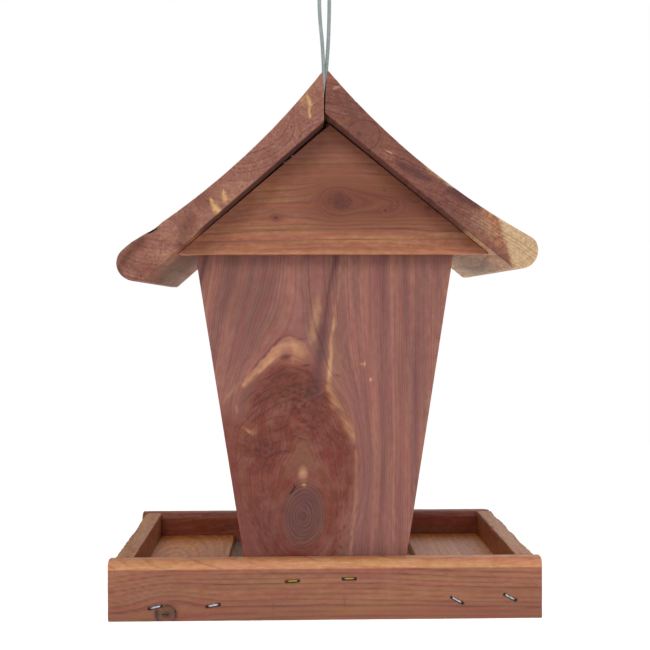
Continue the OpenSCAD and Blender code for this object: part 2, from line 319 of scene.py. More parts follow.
def cedar(name, early, late, alt, axis, ring_depth=0.6, fibre_depth=0.3, end_shade=0.82,
          tone_depth=1.0, tone_pitch=0.16, cream=(196, 152, 104), purple=(100, 62, 64),
          red=(112, 52, 38), grey=(112, 84, 70), knot=(66, 34, 24), rough=0.6, bump=0.35,
          speck=0.5, mottle_depth=0.16, pit_depth=0.3, rise=(0.25, 0.75), wander=1.5):
    """Cedar from per-vertex growth data: w_ring is the ring count, w_fib the fibre frame in mm,
    w_m1 and w_m2 the figure, into which some boards also lay painted light and painted shade.
    early, late and alt are the ring's two colours and the broad second tone; rise is where in a
    ring its dark part starts, at the least and the most."""
    net = Net(name)
    ring = net.wire(net.attribute("w_ring"), "Fac")
    fibre = net.wire(net.attribute("w_fib"), "Vector")
    figure = net.attribute("w_m1")
    marks = net.attribute("w_m2")
    cream_mask, purple_mask, red_mask = net.split("Color", net.wire(figure, "Color"))
    grey_mask = net.wire(figure, "Alpha")
    knot_and_shade_mask, crack_mask, wear_mask = net.split("Color", net.wire(marks, "Color"))

    def fibre_noise(across, along, detail, roughness):
        cells = net.scaled(fibre, (across, across, along))
        return net.noise(cells, scale=1.0, detail=detail, rough=roughness)

    # cells per mm across and along the fibre, detail, roughness
    slow = fibre_noise(0.16, 0.016, 3, 0.55)
    quick = fibre_noise(0.8, 0.05, 2, 0.5)
    streak = fibre_noise(0.95, 0.022, 4, 0.65)
    fine = fibre_noise(4.5, 0.16, 2, 0.6)
    patch = fibre_noise(0.06, 0.012, 3, 0.55)
    mottle = fibre_noise(0.42, 0.17, 4, 0.62)
    grit = fibre_noise(2.0, 0.7, 3, 0.7)
    hue = fibre_noise(0.3, 0.02, 2, 0.5)
    pore = fibre_noise(2.0, 0.32, 1, 0.5)
    dots = fibre_noise(0.85, 0.2, 3, 0.75)

    # the rings wander, and each has its own width and strength
    wandered = ring + ((slow - 0.5) * wander + (quick - 0.5) * 0.35)
    whole = net.math("FLOOR", wandered)
    part = net.math("FRACT", wandered)
    strength = net.random(whole)
    width = net.random(whole + 91.7)
    dark_in = part.smooth(width.linear(0, 1, to=rise), 0.95)
    dark_out = part.smooth(0.95, 1.0, to=(1.0, 0.0))
    band = dark_in * dark_out * net.math("POWER", strength.linear(0, 1, to=(0.2, 1.0)), 1.5)

    along = net.split("XYZ", fibre)[2]
    tone_at = net.wire(net.node("CombineXYZ", {0: wandered * tone_pitch, 1: along * 0.006}))
    tone = net.noise(tone_at, scale=1.0, detail=3, rough=0.6)
    base = tone.smooth(0.36, 0.64) * 0.7 + patch.smooth(0.35, 0.65) * 0.3
    colour = net.mix(base * tone_depth, linear(early), linear(alt))
    colour = net.mix(width * width * (0.34 * ring_depth), colour, linear(late))

    # the soft masks of the figure are broken up along the fibre
    tear = (mottle - 0.5) * 1.5 + ((streak - 0.5) * 0.7 + (grit - 0.5) * 0.6)

    def torn(mask, tearing, amount):
        ragged = net.math("MULTIPLY", mask, 1.0 + tear * tearing, clamp=True)
        return net.math("MULTIPLY", ragged, amount, clamp=True)

    # the grey, red, purple and cream masks hold the figure and, on some boards, painted light and
    # painted shade
    colour = net.mix(torn(grey_mask, tearing=1.2, amount=0.85), colour, linear(grey))
    colour = net.mix(torn(red_mask, tearing=1.6, amount=0.92), colour, linear(red))
    colour = net.mix(torn(purple_mask, tearing=1.3, amount=0.88), colour, linear(purple))
    pale = (cream_mask + tear * 0.22 * cream_mask.smooth(0.02, 0.3)).smooth(0.02, 1.0)
    colour = net.mix(pale * 0.9, colour, linear(cream))
    # each ring darkens whatever colour the wood has there
    darkening = [dark / light for light, dark in zip(linear(early)[:3], linear(late)[:3])]
    colour = net.mix(band * ring_depth, colour, net.tint(colour, darkening))
    # the knot mask holds knots and dark lines, and also painted shade in staple pockets and under
    # the left roof board
    colour = net.mix(torn(knot_and_shade_mask, tearing=1.2, amount=0.95), colour, linear(knot))

    # fibre streaks, mottling
    value = None
    for noise, low, high, depth in ((streak, 0.22, 0.78, fibre_depth),
                                    (fine, 0.25, 0.75, fibre_depth * 0.4),
                                    (mottle, 0.25, 0.75, mottle_depth)):
        layer = noise.linear(low, high, to=(1.0 - depth, 1.0 + depth))
        value = value * layer if value else layer
    colour = net.wire(net.node("HueSaturation", {
        "Color": colour,
        "Value": value,
        "Hue": hue.linear(0.3, 0.7, to=(0.49, 0.51)),
        "Saturation": mottle.linear(0.3, 0.7, to=(1.08, 0.93)),
    }))
    pores = pore.smooth(0.68, 0.76)
    colour = net.mix(pores * (0.5 * speck), colour, linear(knot))

    # cut ends are darker and stippled; edges are rubbed pale, cracks are black
    end = net.facing(axis).smooth(0.55, 0.9)
    shade = (end_shade, end_shade * 0.985, end_shade * 0.97)
    colour = net.mix(end, colour, net.tint(colour, shade))
    pits = dots.smooth(0.55, 0.66) * end
    glow = dots.smooth(0.45, 0.34) * end
    colour = net.mix(pits * pit_depth, colour, linear(knot))
    colour = net.mix(glow * (pit_depth * 0.8), colour, net.tint(colour, (1.45, 1.38, 1.3)))
    wear = (wear_mask + (grit - 0.5) * 1.1).smooth(0.4, 0.95) * 0.30
    colour = net.mix(wear, colour, net.tint(colour, (1.5, 1.42, 1.32)))
    colour = net.mix(crack_mask.smooth(0.3, 0.6), colour, (0.006, 0.004, 0.003, 1))

    gloss = patch.linear(0.3, 0.7, to=(rough - 0.06, rough + 0.06)) + (fine - 0.5) * 0.22
    gloss = net.math("ADD", gloss, end * 0.12, clamp=True)
    gloss = net.math("SUBTRACT", gloss, band * 0.06, clamp=True)
    saw = net.noise(net.coords(), scale=900.0, detail=2, rough=0.6)
    height = (streak * 0.6 + fine * 0.35 + band * (-0.3 * ring_depth) + pores * -0.5
              + pits * -0.9 + crack_mask.smooth(0.3, 0.6) * -3.0 + saw * end * 0.5)
    return net.finish(Base_Color=colour, Roughness=gloss, Specular_IOR_Level=0.3,
                      Normal=net.bump(height, strength=bump, distance=0.00035))


def metal(name, colour, dark, rough):
    net = Net(name)
    coords = net.coords()
    stain = net.noise(coords, scale=700.0, detail=3, rough=0.6)
    haze = net.noise(coords, scale=2600.0, detail=2, rough=0.6)
    scratch = net.noise(net.scaled(coords, (400, 3500, 3500)), scale=1.0, detail=2, rough=0.6)
    return net.finish(
        Base_Color=net.mix(stain.smooth(0.45, 0.7, to=(0.0, 0.65)), linear(colour), linear(dark)),
        Metallic=1.0,
        Roughness=haze.smooth(0.3, 0.7, to=(rough - 0.08, rough + 0.14)) + scratch * 0.12,
        Normal=net.bump(scratch + stain, strength=0.25, distance=0.00008))


def braid_material(name, colour, dark, light):
    """Cord yarn; y_uv holds place round the yarn, mm along the cord and share of its radius."""
    net = Net(name)
    yarn = net.wire(net.attribute("y_uv"), "Vector")
    coords = net.coords()
    threads = net.noise(net.scaled(yarn, (14.0, 0.9, 1.0)), scale=1.0, detail=2, rough=0.6)
    soil = net.noise(coords, scale=160.0, detail=3, rough=0.55)
    fuzz = net.noise(coords, scale=2400.0, detail=2, rough=0.7)
    radius = net.split("XYZ", yarn)[2]
    shade = net.mix(threads.smooth(0.3, 0.7), linear(dark), linear(colour))
    shade = net.mix(soil.smooth(0.45, 0.75, to=(0.0, 0.4)), shade, linear(light))
    # painted shade: yarn nearer the cord's middle is darkened, as in the crevices between yarns
    deep = radius.smooth(0.95, 0.3, to=(0.0, 0.75))
    shade = net.mix(deep, shade, net.tint(shade, (0.45, 0.47, 0.46)))
    return net.finish(
        Base_Color=shade, Roughness=fuzz.smooth(0.3, 0.7, to=(0.62, 0.85)),
        Normal=net.bump(threads + fuzz * 0.5, strength=0.5, distance=0.00018),
        Sheen_Weight=0.25, Sheen_Roughness=0.4)


def acrylic(name):
    net = Net(name)
    coords = net.coords()
    scuff = net.noise(net.scaled(coords, (900, 120, 60)), scale=1.0, detail=3, rough=0.6)
    dust = net.noise(coords, scale=45.0, detail=4, rough=0.6)
    clean, dusty = (0.975, 0.985, 0.98, 1), (0.92, 0.94, 0.93, 1)
    return net.finish(
        Base_Color=net.mix(dust.smooth(0.4, 0.75, to=(0.0, 0.5)), clean, dusty),
        Roughness=(scuff.smooth(0.55, 0.75, to=(0.02, 0.10))
                   + dust.smooth(0.5, 0.8, to=(0.0, 0.05))),
        Normal=net.bump(scuff, strength=0.04, distance=0.0001),
        IOR=1.49, Transmission_Weight=0.96)


ALONG_X, ALONG_Y, ALONG_Z = (1, 0, 0), (0, 1, 0), (0, 0, 1)

END_CEDAR = cedar(
    "cedar_end_board", early=(138, 87, 75), late=(98, 57, 50), alt=(110, 70, 65), axis=ALONG_Z,
    ring_depth=0.7, fibre_depth=0.18, cream=(182, 132, 94), purple=(80, 42, 43), red=(94, 34, 15),
    grey=(95, 63, 48), knot=(60, 22, 15), speck=0.3, mottle_depth=0.12, wander=1.0)
# its purple also serves the painted shade towards the apex, its cream the painted highlight and
# paling along the base
GABLE_CEDAR = cedar(
    "cedar_gable", early=(141, 86, 58), late=(92, 52, 36), alt=(120, 72, 53), axis=ALONG_X,
    ring_depth=0.75, fibre_depth=0.15, cream=(166, 111, 80), purple=(104, 58, 46),
    red=(95, 45, 27), grey=(120, 84, 66), knot=(66, 28, 18), mottle_depth=0.12)
# its red also serves the painted shade towards the foot of the front rail's face
RAIL_CEDAR = cedar(
    "cedar_rail", early=(138, 87, 62), late=(96, 54, 38), alt=(126, 77, 57), axis=ALONG_X,
    ring_depth=0.65, fibre_depth=0.12, cream=(180, 123, 85), grey=(124, 86, 70),
    red=(108, 60, 42), knot=(36, 21, 15), mottle_depth=0.1, rise=(0.5, 0.8), wander=0.7)
# the rear rail's dark, saturated red-brown mixes the wood's own colour with painted shade and
# painted red interreflection from inside the tray
REAR_CEDAR = cedar(
    "cedar_rear_rail", early=(119, 49, 21), late=(82, 33, 20), alt=(103, 42, 19), axis=ALONG_X,
    ring_depth=0.7, fibre_depth=0.2, cream=(150, 98, 74), purple=(122, 68, 54),
    grey=(100, 54, 42), red=(100, 44, 28), knot=(56, 28, 20), end_shade=0.9)
# its red is the painted warm bounce light on the inner faces; its cream colours the tops and also
# the painted light on the right rail's inner face
SIDE_CEDAR = cedar(
    "cedar_side_rail", early=(140, 86, 54), late=(96, 54, 34), alt=(128, 74, 48), axis=ALONG_Y,
    ring_depth=0.65, fibre_depth=0.24, cream=(154, 100, 51), red=(158, 84, 38),
    grey=(116, 80, 58), knot=(62, 32, 20), mottle_depth=0.2)
FLOOR_CEDAR = cedar(
    "cedar_floor", early=(174, 105, 51), late=(116, 66, 36), alt=(153, 90, 43), axis=ALONG_Y,
    ring_depth=0.7, fibre_depth=0.2, cream=(188, 130, 71), red=(130, 76, 48),
    grey=(126, 86, 62), knot=(86, 46, 28))
# its purple and knot colours also serve the painted shadow under the board's inner part, its grey
# and cream the painted bounce light on the outer underside
ROOF_LEFT_CEDAR = cedar(
    "cedar_roof_left", early=(146, 101, 84), late=(86, 49, 42), alt=(124, 80, 70), axis=ALONG_Y,
    ring_depth=0.6, fibre_depth=0.14, end_shade=0.97, tone_pitch=0.10, cream=(188, 148, 98),
    purple=(84, 45, 36), red=(112, 62, 46), grey=(142, 79, 39), knot=(64, 34, 28),
    rough=0.68, bump=0.5, speck=0.6, mottle_depth=0.2, pit_depth=0.4, wander=0.6)
# its grey is the painted light on the underside
ROOF_RIGHT_CEDAR = cedar(
    "cedar_roof_right", early=(124, 77, 62), late=(78, 43, 36), alt=(104, 64, 54), axis=ALONG_Y,
    ring_depth=0.85, fibre_depth=0.14, end_shade=0.97, tone_pitch=0.12, cream=(180, 152, 118),
    purple=(78, 42, 42), red=(168, 116, 80), grey=(190, 146, 112), knot=(64, 34, 28),
    rough=0.66, bump=0.45, speck=0.5, mottle_depth=0.2, pit_depth=0.32, wander=0.9)
STEEL = metal("staple_steel", colour=(166, 172, 180), dark=(92, 95, 100), rough=0.3)
BRASS = metal("staple_brass", colour=(146, 128, 62), dark=(62, 52, 22), rough=0.34)
CORD = braid_material("cord_braid", colour=(156, 167, 167), dark=(106, 120, 121),
                      light=(180, 187, 185))
WIRE = metal("screen_wire", colour=(124, 112, 98), dark=(76, 68, 58), rough=0.5)
CLEAR = acrylic("window_acrylic")


# ------------------------------------------------------------------ mesh building

def new_object(name, points, faces):
    mesh = bpy.data.meshes.new(name)
    mesh.from_pydata((np.asarray(points) * MM).tolist(), [], [tuple(face) for face in faces])
    mesh.validate(clean_customdata=False)
    made = bpy.data.objects.new(name, mesh)
    bpy.context.scene.collection.objects.link(made)
    return made


def finish(made, material, body, node=None, angle=40):
    """Material, shading split at the angle in degrees, and what the frame is told."""
    mesh = made.data
    mesh.materials.append(material)
    mesh.polygons.foreach_set("use_smooth", np.ones(len(mesh.polygons), bool))
    mesh.set_sharp_from_angle(angle=radians(angle))
    mesh.update()
    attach(made, body)
    if node:
        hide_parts(node)


def add_attribute(mesh, name, kind, values):
    key = {"FLOAT": "value", "FLOAT_VECTOR": "vector", "FLOAT_COLOR": "color"}[kind]
    attribute = mesh.attributes.new(name, kind, "POINT")
    attribute.data.foreach_set(key, np.asarray(values, np.float32).ravel())


def turned_inward(points, faces):
    """Whether the closed mesh of quads has its faces turned to the inside."""
    first, second, third, fourth = (points[faces[:, k]] for k in range(4))
    volume = (np.einsum("ij,ij->i", first, np.cross(second, third)).sum()
              + np.einsum("ij,ij->i", first, np.cross(third, fourth)).sum())
    return volume <= 0


def vertex_normals(points, faces):
    corners = [points[faces[:, k]] for k in range(4)]
    face_normals = np.cross(corners[2] - corners[0], corners[3] - corners[1])
    normals = np.zeros_like(points)
    for k in range(4):
        np.add.at(normals, faces[:, k], face_normals)
    return normals / np.maximum(np.linalg.norm(normals, axis=1), 1e-12)[:, None]


def ring_quads(rows, count):
    """Vertex numbers of rows of closed rings, and the quads between them."""
    index = np.arange(rows * count).reshape(rows, count)
    after = np.roll(index, -1, 1)
    return index, np.stack([index[:-1], after[:-1], after[1:], index[1:]], -1).reshape(-1, 4)


def rounded(profile, radii, steps=10):
    """Convex counter-clockwise profile with rounded corners: each corner's arc in two halves."""
    halves = []
    for i, radius in enumerate(radii):
        corner = profile[i]
        if radius == 0:
            halves.append((corner[None], corner[None]))
            continue
        arriving = corner - profile[i - 1]
        leaving = profile[(i + 1) % len(profile)] - corner
        arriving = arriving / np.linalg.norm(arriving)
        leaving = leaving / np.linalg.norm(leaving)
        turn = atan2(arriving[0] * leaving[1] - arriving[1] * leaving[0], arriving @ leaving)
        inward = np.array([-arriving[1], arriving[0]])
        centre = corner - arriving * (radius * tan(turn / 2)) + inward * radius
        angles = atan2(-inward[1], -inward[0]) + turn * np.linspace(0, 1, 2 * steps + 1)
        arc = centre + radius * columns(np.cos(angles), np.sin(angles))
        halves.append((arc[: steps + 1], arc[steps:]))
    return halves


def path_lengths(points):
    return np.r_[0, np.cumsum(np.linalg.norm(np.diff(points, axis=0), axis=1))]


def resample(points, count):
    """Polyline as count equal steps, and its length."""
    points = np.asarray(points, float)
    lengths = path_lengths(points)
    keep = np.r_[True, np.diff(lengths) > 1e-9]
    points, lengths = points[keep], lengths[keep]
    stops = np.linspace(0, lengths[-1], count + 1)
    return columns(*(np.interp(stops, lengths, column) for column in points.T)), lengths[-1]


def profile_loop(profile, radii, corners, long_step, short_step):
    """Closed outline of a profile as points. corners are the four that part it into a bottom,
    a right, a top and a left side. Also the steps on bottom and top, and on right and left."""
    halves = rounded(profile, radii)
    sides = []
    for first, last in zip(corners, corners[1:] + corners[:1]):
        line = [halves[first][1]]
        j = (first + 1) % len(profile)
        while j != last:
            line += halves[j]
            j = (j + 1) % len(profile)
        sides.append(np.concatenate(line + [halves[last][0]]))
    lengths = [resample(side, 4)[1] for side in sides]
    counts = (max(4, int(round(max(lengths[0], lengths[2]) / long_step))),
              max(3, int(round(max(lengths[1], lengths[3]) / short_step))))
    parts = [resample(side, count)[0][:-1] for side, count in zip(sides, counts * 2)]
    return np.concatenate(parts), *counts


def cap_grid(points, ring, wide, high):
    """Grid that fills a ring of wide, high, wide and high steps, and its border's numbers."""
    closed = np.append(ring, ring[0])
    bottom = closed[: wide + 1]
    right = closed[wide : wide + high + 1]
    top = closed[wide + high : 2 * wide + high + 1][::-1]
    left = closed[2 * wide + high :][::-1]
    numbers = np.full((wide + 1, high + 1), -1)
    numbers[:, 0] = bottom
    numbers[-1, :] = right
    numbers[:, -1] = top
    numbers[0, :] = left
    bottom, right, top, left = (points[side] for side in (bottom, right, top, left))

    def shares(line):
        lengths = path_lengths(line)
        return lengths / lengths[-1]

    across = ((shares(bottom) + shares(top)) / 2)[:, None, None]
    up = ((shares(left) + shares(right)) / 2)[None, :, None]
    grid = ((1 - up) * bottom[:, None] + up * top[:, None]
            + (1 - across) * left[None] + across * right[None]
            - ((1 - across) * (1 - up) * bottom[0] + across * (1 - up) * bottom[-1]
               + across * up * top[-1] + (1 - across) * up * top[0]))
    return grid, numbers


def board_skin(outline, wide, high, run, run_step, end_round):
    """The outline run along the third axis, its ends rounded and closed with grids."""
    tangent = np.roll(outline, -1, 0) - np.roll(outline, 1, 0)
    tangent /= np.linalg.norm(tangent, axis=1)[:, None]
    outward = columns(tangent[:, 1], -tangent[:, 0])
    start, stop = run[0] + end_round, run[1] - end_round
    rounding = [(end_round * (1 - cos(a)), end_round * sin(a))
                for a in np.radians([90, 55, 25, 0])]
    count = max(2, int(round((run[1] - run[0] - 2 * end_round) / run_step)))
    rows = [(inset, start - reach) for inset, reach in rounding]
    rows += [(0.0, y) for y in np.linspace(start, stop, count + 1)[1:-1]]
    rows += [(inset, stop + reach) for inset, reach in rounding[::-1]]
    walls = np.concatenate([columns(*(outline - outward * inset).T, y) for inset, y in rows])
    index, quads = ring_quads(len(rows), len(outline))
    points, faces, total = [walls], [quads], len(walls)
    for ring, order in ((index[0], -1), (index[-1], 1)):
        grid, numbers = cap_grid(walls, ring, wide, high)
        inner = grid[1:-1, 1:-1].reshape(-1, 3)
        numbers[1:-1, 1:-1] = total + np.arange(len(inner)).reshape(wide - 1, high - 1)
        total += len(inner)
        points.append(inner)
        quads = np.stack([numbers[:-1, :-1], numbers[1:, :-1], numbers[1:, 1:],
                          numbers[:-1, 1:]], -1).reshape(-1, 4)
        faces.append(quads[:, ::order])
    return np.concatenate(points), np.concatenate(faces), len(walls)


def box_cutter(name, cuts, bores):
    """Closed boxes and upright cylinders. cuts: (centre, 3x3 rows of axes, half sizes);
    bores: (x, y, bottom, top, radius)."""
    points, faces = [], []
    for centre, axes, halves in cuts:
        base = len(points)
        for i in range(8):
            signs = [(1 if i & (1 << k) else -1) for k in range(3)]
            points.append(np.asarray(centre, float) + sum(
                signs[k] * halves[k] * np.asarray(axes[k], float) for k in range(3)))
        quads = [(0, 2, 3, 1), (4, 5, 7, 6), (0, 1, 5, 4), (2, 6, 7, 3), (0, 4, 6, 2), (1, 3, 7, 5)]
        if np.linalg.det(np.asarray(axes, float)) < 0:
            quads = [quad[::-1] for quad in quads]
        faces += [tuple(base + k for k in quad) for quad in quads]
    for x, y, bottom, top, radius in bores:
        base, count = len(points), 64
        for z in (bottom, top):
            points += [np.array([x + radius * cos(a), y + radius * sin(a), z])
                       for a in np.linspace(0, 2 * pi, count, endpoint=False)]
        for i in range(count):
            j = (i + 1) % count
            faces.append((base + i, base + j, base + count + j, base + count + i))
        faces.append(tuple(base + i for i in range(count))[::-1])
        faces.append(tuple(base + count + i for i in range(count)))
    made = new_object(name, points, faces)
    made.hide_render = True
    return made


def carve(made, name, cuts, bores):
    """Take the cuts and bores out of the board."""
    cutter = box_cutter(name + "_cutter", cuts, bores)
    modifier = made.modifiers.new("cut", "BOOLEAN")
    modifier.operation = "DIFFERENCE"
    modifier.object = cutter
    # the manifold solver can give up and leave nothing; the exact one then steps in
    for solver in ("MANIFOLD", "EXACT"):
        modifier.solver = solver
        bpy.context.view_layer.update()
        graph = bpy.context.evaluated_depsgraph_get()
        mesh = bpy.data.meshes.new_from_object(made.evaluated_get(graph), depsgraph=graph)
        if len(mesh.vertices) >= 100:
            break
    made.modifiers.clear()
    whole = made.data
    made.data = mesh
    mesh.name = name
    bpy.data.meshes.remove(whole)
    bpy.data.objects.remove(cutter)


def edge_wear(places, points, edge):
    """Rubbed-edge mask at the places, from the edge distances of the uncut board's points."""
    if len(places) == len(edge):
        return bell(edge / 1.0)
    near = edge < 3
    distances = edge[near]
    tree = KDTree(int(near.sum()))
    for i, point in enumerate(points[near]):
        tree.insert(point, i)
    tree.balance()
    wear = np.zeros(len(places))
    for i, place in enumerate(places):
        _, j, gap = tree.find(place)
        if gap < 1.2:
            wear[i] = bell(distances[j] / 1.0)
    return wear


def board(name, node, material, grain, profile, radii, corners, run, steps, place,
          end_round, chip, body="hopper", warp=None, cuts=(), bores=(), wobble=0.10, seed=1,
          sharp_corners=None, dents=()):
    """A board: a profile run along the third axis, mapped to the row frame by place.
    Its skin is a fine grid, so figure, chips and rubbed edges are real data at the vertices.
    steps: grid size on bottom and top, along the run, and on the two short sides.
    chip: depth, size, noise level where chips start, reach from the edge.
    dents: centre, radii, depth. grain gives the growth data of points."""
    profile = np.asarray(profile, float)
    outline, wide, high = profile_loop(profile, radii, corners, steps[0], steps[2])
    points, faces, wall_count = board_skin(outline, wide, high, run, steps[1], end_round)

    # distance to the nearest sharp edge, for chips and rubbed edges
    from_end = np.minimum(points[:, 2] - run[0], run[1] - points[:, 2])
    from_side = np.zeros(len(points))
    rim = np.vstack([outline[:: max(1, len(outline) // 220)], outline[:1]])
    from_side[wall_count:], _ = line_distance(points[wall_count:, :2], rim)
    edge = np.sqrt(from_end**2 + from_side**2)
    if sharp_corners is None:
        sharp_corners = [i for i, radius in enumerate(radii) if radius < 2.0]
    for i in sharp_corners:
        edge = np.minimum(edge, np.linalg.norm(points[:, :2] - profile[i], axis=1))

    if warp is not None:
        points = warp(points)
    points = place(points)
    if turned_inward(points, faces):
        faces = faces[:, ::-1]
    normals = vertex_normals(points, faces)
    noise = Perlin(seed)
    depth, size, level, reach = chip
    chips = (np.maximum(0, noise.fbm(points / size) - level) * depth / (1 - level)
             * bell(edge / reach))
    uneven = (noise.fbm(points / 9.0 + 5, 2) * wobble * bell(edge / 3.0)
              + noise(points / 40.0) * wobble * 0.5)
    dented = np.zeros(len(points))
    for centre, extent, deep in dents:
        offset = (points - np.asarray(centre, float)) / np.asarray(extent, float)
        dented = np.maximum(dented, deep * np.exp(-(offset**2).sum(1))
                            * (0.7 + 0.6 * noise.fbm(points / 1.6, 2)))
    sunk = 2.2 * chips + dented + np.maximum(uneven, -wobble * 0.3)
    points = points - normals * sunk[:, None]
    made = new_object(name, points, faces)
    if cuts or bores:
        carve(made, name, cuts, bores)

    mesh = made.data
    places = np.zeros(len(mesh.vertices) * 3)
    mesh.vertices.foreach_get("co", places)
    places = places.reshape(-1, 3) / MM
    data = grain(places)
    zero = np.zeros(len(places))
    data["wear"] = edge_wear(places, points, edge)
    for centre, axes, halves in cuts:
        if max(halves) < 5:  # a staple's pocket, darkened inside
            offset = (places - np.asarray(centre, float)) @ np.asarray(axes, float).T
            pocket = (np.abs(offset) / (np.asarray(halves) + 0.06) < 1).all(1)
            # painted shade: the pocket's inside is darkened through the knot mask
            data["knot"] = np.maximum(data.get("knot", zero), pocket * 0.8)
    add_attribute(mesh, "w_ring", "FLOAT", data["ring"])
    add_attribute(mesh, "w_fib", "FLOAT_VECTOR", data["fib"])
    # besides figure, the knot mask carries painted shade, and purple, grey, red and cream carry
    # painted light and shade on some boards
    for key, masks in (("w_m1", ("cream", "purple", "red", "grey")),
                       ("w_m2", ("knot", "crack", "wear", "spare"))):
        colours = columns(*(data.get(mask, zero) for mask in masks))
        add_attribute(mesh, key, "FLOAT_COLOR", np.clip(colours, 0, 1))
    mesh.materials.clear()
    mesh.polygons.foreach_set("material_index", np.zeros(len(mesh.polygons), np.int32))
    finish(made, material, body, node, angle=46)


# ------------------------------------------------------------------ growth data
# Each function takes points in mm and gives: ring, the ring count; fib, the fibre frame (two
# axes across the fibre, one along it); and masks of the figure, 0 to 1, some of which also hold
# painted light and painted shade. Masks left out are 0.

def plain_grain(co, along, pith, spacing, tilt, seed, wander, knots=()):
    """Rings round a pith. along: index of the grain axis. pith: its place in the two cross axes,
    in order. Knots, seen across the first cross axis: place across, place along,
    radius across, radius along, how hard the grain bends."""
    first, second = [k for k in range(3) if k != along]
    length = co[:, along]
    across, depth = co[:, first], co[:, second]
    noise = Perlin(seed)
    cells = columns(across / 34, depth / 34, length / 150)
    across = across + wander * noise.fbm(cells, 2)
    depth = depth + wander * noise.fbm(cells + 40, 2)
    for centre, height, width, reach, bend in knots:
        near = bell((across - centre) / (width * 3.2), (length - height) / (reach * 3.6))
        across = centre + (across - centre) * (1 - bend * near)
    ring = np.hypot(across - pith[0] - tilt[0] * length, depth - pith[1] - tilt[1] * length)
    ring = ring / spacing
    dark, red = np.zeros(len(co)), np.zeros(len(co))
    for centre, height, width, reach, _ in knots:
        radius = oval(columns(co[:, first], length), (centre, height), (width, reach))
        inside = ramp(1.25, 0.75, radius)
        ring = ring * (1 - inside) + (radius * max(2.0, width * 1.1) + 40) * inside
        dark = strongest(dark, bell((radius - 1.0) / 0.16) * 0.75, ramp(0.55, 0.1, radius) * 0.9)
        red = np.maximum(red, ramp(2.6, 0.9, radius) * 0.75)
    return {"ring": ring, "fib": columns(across, depth, length), "knot": dark, "red": red}


